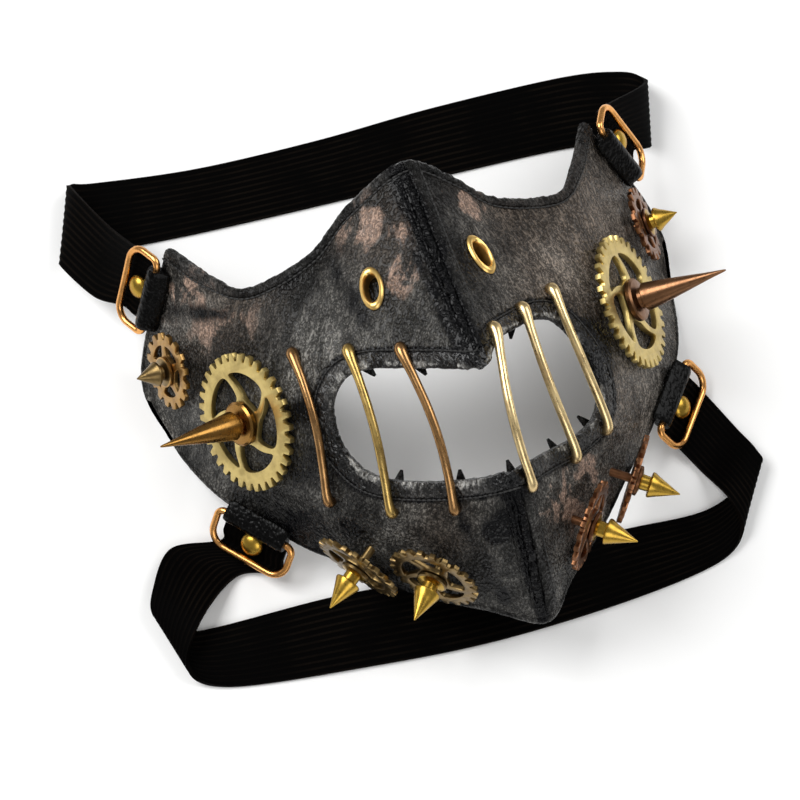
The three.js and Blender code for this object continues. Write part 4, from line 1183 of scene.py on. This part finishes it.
# Finishes of the gears and of their spikes, left and right
GEAR_FINISHES = {
    "cheek": (PALE_BRASS, PALE_BRASS), "temple": (GOLD, DARK_BRONZE),
    "jaw_outer": (DARK_BRASS, DARK_BRONZE), "jaw_inner": (DARK_BRASS, DARK_BRONZE),
}
SPIKE_FINISHES = {
    "cheek": (BRONZE, BROWN_COPPER), "temple": (DARK_BRASS, CONE_GOLD),
    "jaw_outer": (CONE_GOLD, CONE_GOLD), "jaw_inner": (CONE_GOLD, CONE_GOLD),
}


def gears_and_spikes():
    for place, kind in PLACES.items():
        slot = "bronze" if kind == "cheek" else "gold"
        for word, disc, cone in zip(SIDES, GEAR_FINISHES[place], SPIKE_FINISHES[place]):
            gear_node, spike_node = f"{place}_gear_{word}", f"{place}_spike_{word}"
            seat = disc_place(gear_node, spike_node)
            gear(gear_node, seat, GEARS[kind], disc)
            collar = cone if kind == "cheek" else disc
            spike(spike_node, seat, SPIKES[kind], GEARS[kind]["thick"], cone, collar, slot)


def eyelets():
    """Oval nostril eyelets, each with a black lining patch across the foot of its barrel."""
    for word, side in SIDES.items():
        node = f"nostril_eyelet_{word}"
        place = eyelet_place(node, side)
        _, high = reach_along(node, place)
        seat = high - EYELET["rise"]
        flange, hole, barrel = EYELET["flange"], EYELET["hole"], EYELET["barrel"]
        rows = [
            (hole, 0.2), (barrel - 0.3, 0.0), (barrel - 0.3, seat), (flange - 0.2, seat),
            (flange, seat + 0.3), (flange - 0.25, seat + 0.75), (flange - 0.8, seat + 1.1),
            (flange - 1.4, seat + 1.25), (hole + 0.6, seat + 1.1), (hole + 0.15, seat + 0.65),
            (hole, seat), (hole, 0.2),
        ]
        sides = SIDES_ROUND["eyelet"]
        settle(turned(node + "_turned", rows, sides, place @ OVAL, EYELET_GOLD), "gold", node)
        patch = [(0, 0.3), (hole - 0.05, 0.3), (hole - 0.05, 0.7), (hole * 0.5, 0.8), (0, 0.8)]
        settle(turned(f"eyelet_lining_{word}", patch, sides, place @ OVAL, BLACK_HIDE), "leather")


def mouth_bars():
    """Bars sunk into the leather at both ends, straight down under the head and then bent to the foot."""
    for number, bar in enumerate(BARS, 1):
        top, foot = np.array(bar["top"], float), np.array(bar["foot"], float)
        shares = np.array([0, 0, *BAR_STATIONS, 1, 1])
        sunk, low = -LEATHER * 0.6, BAR_LIFT * 0.6
        lifts = [sunk, low, *[BAR_LIFT] * len(BAR_STATIONS), low, sunk]
        aside = np.clip((shares - BAR_BEND) / (1 - 2 * BAR_BEND), 0, 1)
        places = top + (foot - top) * np.column_stack([aside, shares])
        places[:, 0] += bar["bow"] * np.sin(math.pi * shares)
        points, _ = on_leather(places, np.array(lifts))
        fine = np.linspace(0, len(points) - 1, BAR_POINTS)
        share = fine / fine[-1]
        radius = BAR_RADIUS["shank"]
        for swell in BAR_SWELLS:
            near = np.exp(-(((share - swell["at"]) / swell["reach"]) ** 2))
            radius = radius + (BAR_RADIUS[swell["part"]] - BAR_RADIUS["shank"]) * near
        name, sides = f"mouth_bar_{number}", SIDES_ROUND["bar"]
        finish = BAR_METALS[bar["metal"]]
        wire = tube(name + "_wire", lie(through(points, fine)), radius * MM, finish, sides)
        ends = np.clip(np.abs(share - 0.5) * 4.2 - 1.15, 0, 1)
        set_values(wire, "tarnished", np.repeat(ends, sides))
        settle(wire, "gold", name)


# Rings, tabs, rivets and straps

def ring_outline():
    """Middle line of the wire ring, its inner long side through the origin along X."""
    half, wide = RING["length"] / 2 - RING["wire"], RING["width"] - 2 * RING["wire"]
    tight, loose = RING["tight"], RING["corner"]
    corners = [
        (half - tight, tight, tight, -90), (half - loose, wide - loose, loose, 0),
        (loose - half, wide - loose, loose, 90), (tight - half, tight, tight, 180),
    ]
    loop = []
    for x, y, radius, start in corners:
        for angle in np.radians(np.linspace(start, start + 90, 10)):
            loop.append((x + radius * math.cos(angle), y + radius * math.sin(angle), 0.0))
    return np.array(loop)


def moved(place, points):
    return np.array([place @ Vector(p) for p in np.asarray(points) * MM])


def tab(name, ring, seed):
    """Leather tab rolled round the ring's inner wire, its tail lying on the outside of the leather."""
    offset = node_points(name) - ring["wire"]
    flat = offset - np.outer(offset @ ring["along"], ring["along"])
    far = np.linalg.norm(flat, axis=1)
    tail_low = flat[far > far.max() * 0.985].mean(axis=0)
    tail_high = flat[(far > far.max() * 0.92) & (far < far.max() * 0.96)].mean(axis=0)
    away = unit(tail_high - tail_low)
    inwards = unit(tail_low - away * (tail_low @ away))
    reach = ROLL + TAB["tail"] * 0.45
    turns = np.linspace(TAB_ROLL["start"], TAB_ROLL["stop"], TAB_ROLL["points"])
    rolled = [(ROLL * math.cos(a), ROLL * math.sin(a)) for a in turns]
    tail = [(reach - 0.5, -ROLL), (reach, -ROLL + 0.4), (reach, -ROLL + 0.9), (reach - 0.5, -ROLL + 1.5)]
    profile = np.array([*rolled, *tail])
    half = TAB["length"] / 2
    rings = []
    for z in np.linspace(-half, half, TAB_ROLL["slices"]):
        towards_end = max(0.0, abs(z) / half - TAB_WEAR["pinched"]) / (1 - TAB_WEAR["pinched"])
        pinch = 1.0 - TAB_WEAR["pinch"] * towards_end
        crumple = 1.0 + TAB_WEAR["crumple"] * noise.noise(Vector((z * 0.5, seed, 0)))
        section = profile * pinch * crumple
        path = ring["wire"] + ring["along"] * z * MM
        rings.append(path + (section[:, :1] * inwards + section[:, 1:] * away) * MM)
    obj = loft(name + "_roll", rings, BLACK_HIDE, smooth_angle=50)
    return settle(obj, "leather", name)


def rivet(name, ring):
    points = node_points(name)
    spread_up = (points - ring["wire"]) @ ring["top"]
    middle = points.mean(axis=0)
    foot = middle + ring["top"] * (spread_up.min() - (middle - ring["wire"]) @ ring["top"])
    place = basis(ring["along"], ring["out"], ring["top"], foot)
    full = (spread_up.max() - spread_up.min()) / MM
    seat = full - RIVET["high"]
    post, radius, lip = RIVET["post"], RIVET["radius"], 0.2
    rows = [(0, 0), (post, 0), (post, seat), (radius * 0.97, seat), (radius, seat + lip)]
    for angle in np.radians(np.linspace(8, 84, 8)):
        rows.append((radius * math.cos(angle), seat + lip + (RIVET["high"] - lip) * math.sin(angle)))
    rows.append((0, full))
    return settle(turned(name + "_dome", rows, SIDES_ROUND["rivet"], place, CONE_GOLD), "gold", name)


def strap(kind, rows, rings):
    """Ribbed elastic band through its stations, from under one ring to under the other."""
    under, half = STRAP_DROP + STRAP_THICK / 2, TAB["length"] / 2
    outs = [ROLL + GAP, *(RING["width"] * share for share in STRAP_UNDER_RING)]

    def station(ring, out):
        middle = ring["wire"] / MM + ring["out"] * out - ring["top"] * under
        way = ring["along"] if ring["along"][1] > 0 else -ring["along"]
        return middle + way * half, middle - way * half

    left, right = rings[f"{kind}_left"], rings[f"{kind}_right"]
    listed = [(np.array(row["head"]) + CENTRE_SHIFT, np.array(row["foot"]) + CENTRE_SHIFT) for row in rows]
    pairs = [station(left, o) for o in outs] + listed + [station(right, o) for o in reversed(outs)]
    heads, feet = (np.array(edge) for edge in zip(*pairs))
    at = np.linspace(0, len(pairs) - 1, (len(pairs) - 1) * STRAP_STEP + 1)
    head, foot = through(heads, at), through(feet, at)
    ahead = np.gradient(head + foot, axis=0)
    up = unit(np.cross(ahead, head - foot))
    across = np.linspace(0, 1, STRAP_RIBS * 4 + 1)
    top = foot[:, None] + (head - foot)[:, None] * across[None, :, None]
    core = up[:, None] * (STRAP_THICK / 2 - RIB_DEPTH)
    upper, lower = top + core, top - core
    section = np.concatenate([upper, lower[:, ::-1]], axis=1) * MM
    section[..., 2] = np.maximum(section[..., 2], (RIB_DEPTH + 0.01) * MM)
    name = f"{kind}_strap"
    obj = loft(name + "_elastic", section, ELASTIC, smooth_angle=60)
    set_values(obj, "across", np.tile(np.concatenate([across, across[::-1]]), len(at)))
    grow(obj, BAND_RIBS, ribs=float(STRAP_RIBS), depth=RIB_DEPTH * MM, material=ELASTIC)
    smooth(obj.data, 60)
    return settle(obj, "elastic", name)


def rings_and_straps():
    rings = {}
    for word in SIDES:
        for level in ("upper", "lower"):
            name = f"{level}_{word}"
            ring = ring_place(f"strap_ring_{name}", f"strap_tab_{name}")
            rings[name] = ring
            line = moved(ring["frame"], ring_outline())
            radius, sides = RING["wire"] * MM, SIDES_ROUND["ring"]
            wire = tube(f"strap_ring_{name}_wire", line, radius, COPPER_GOLD, sides, closed_path=True)
            settle(wire, "gold", f"strap_ring_{name}")
            tab(f"strap_tab_{name}", ring, len(rings))
            rivet(f"tab_rivet_{name}", ring)
    strap("upper", UPPER_STRAP, rings)
    strap("lower", LOWER_STRAP, rings)


# Stage

def camera():
    data = bpy.data.cameras.new("camera")
    data.lens = CAMERA_LENS
    data.sensor_width = CAMERA_SENSOR
    obj = add_object("camera", data)
    level = math.cos(CAMERA_ELEVATION)
    back = Vector((
        math.sin(CAMERA_AZIMUTH) * level, -math.cos(CAMERA_AZIMUTH) * level, math.sin(CAMERA_ELEVATION),
    ))
    obj.location = (Vector(LOOK_AT) + back * CAMERA_DISTANCE) * MM
    obj.rotation_euler = back.to_track_quat("Z", "Y").to_euler()
    bpy.context.scene.camera = obj


def floor():
    s = Shading("pale_floor")
    tone = s.mix(s.noise(6, 2), rgb(0.955, 0.955, 0.95), rgb(0.975, 0.975, 0.97))
    material = s.finish(tone, 0.6, s.bump(s.noise(400, 2), 0.00002, 0.2))
    size = FLOOR_REACH
    corners = [(-size, -size, 0), (size, -size, 0), (size, size, 0), (-size, size, 0)]
    add_mesh("floor", corners, [(0, 1, 2, 3)], material)


# Studio lamps: place, power, size and what they aim at; the last one lights the floor behind the mouth
LIT = (0, 0, 0.03)
LAMPS = table(
    "name at power size aim",
    ("key", (-0.7, 0.5, 1.1), 15.5, 0.8, LIT),
    ("fill", (0.85, 0.1, 0.9), 5.5, 0.7, LIT),
    ("front", (-0.1, -1.0, 0.8), 3.5, 0.7, LIT),
    ("under the nose", (0.004, 0.014, 0.046), 0.0105, 0.04, (0.002, -0.03, 0.0)),
)
WORLD_GREY = 0.27


def lights():
    scene = bpy.context.scene
    scene.view_settings.view_transform = "Standard"
    scene.world = bpy.data.worlds.new("studio")
    scene.world.use_nodes = True
    background = scene.world.node_tree.nodes["Background"]
    background.inputs["Color"].default_value = rgb(1.0, 1.0, 1.0)
    background.inputs["Strength"].default_value = WORLD_GREY
    for lamp in LAMPS:
        data = bpy.data.lights.new(lamp["name"], "AREA")
        data.energy = lamp["power"]
        data.size = lamp["size"]
        obj = add_object(lamp["name"], data)
        obj.location = lamp["at"]
        away = obj.location - Vector(lamp["aim"])
        obj.rotation_euler = away.to_track_quat("Z", "Y").to_euler()


camera()
floor()
lights()
for half_word, half_side in SIDES.items():
    leather_half(half_side, half_word)
    edge_bands(half_side, half_word)
ridge_strips()
lip_band()
lip_ties()
mouth_bars()
gears_and_spikes()
eyelets()
rings_and_straps()
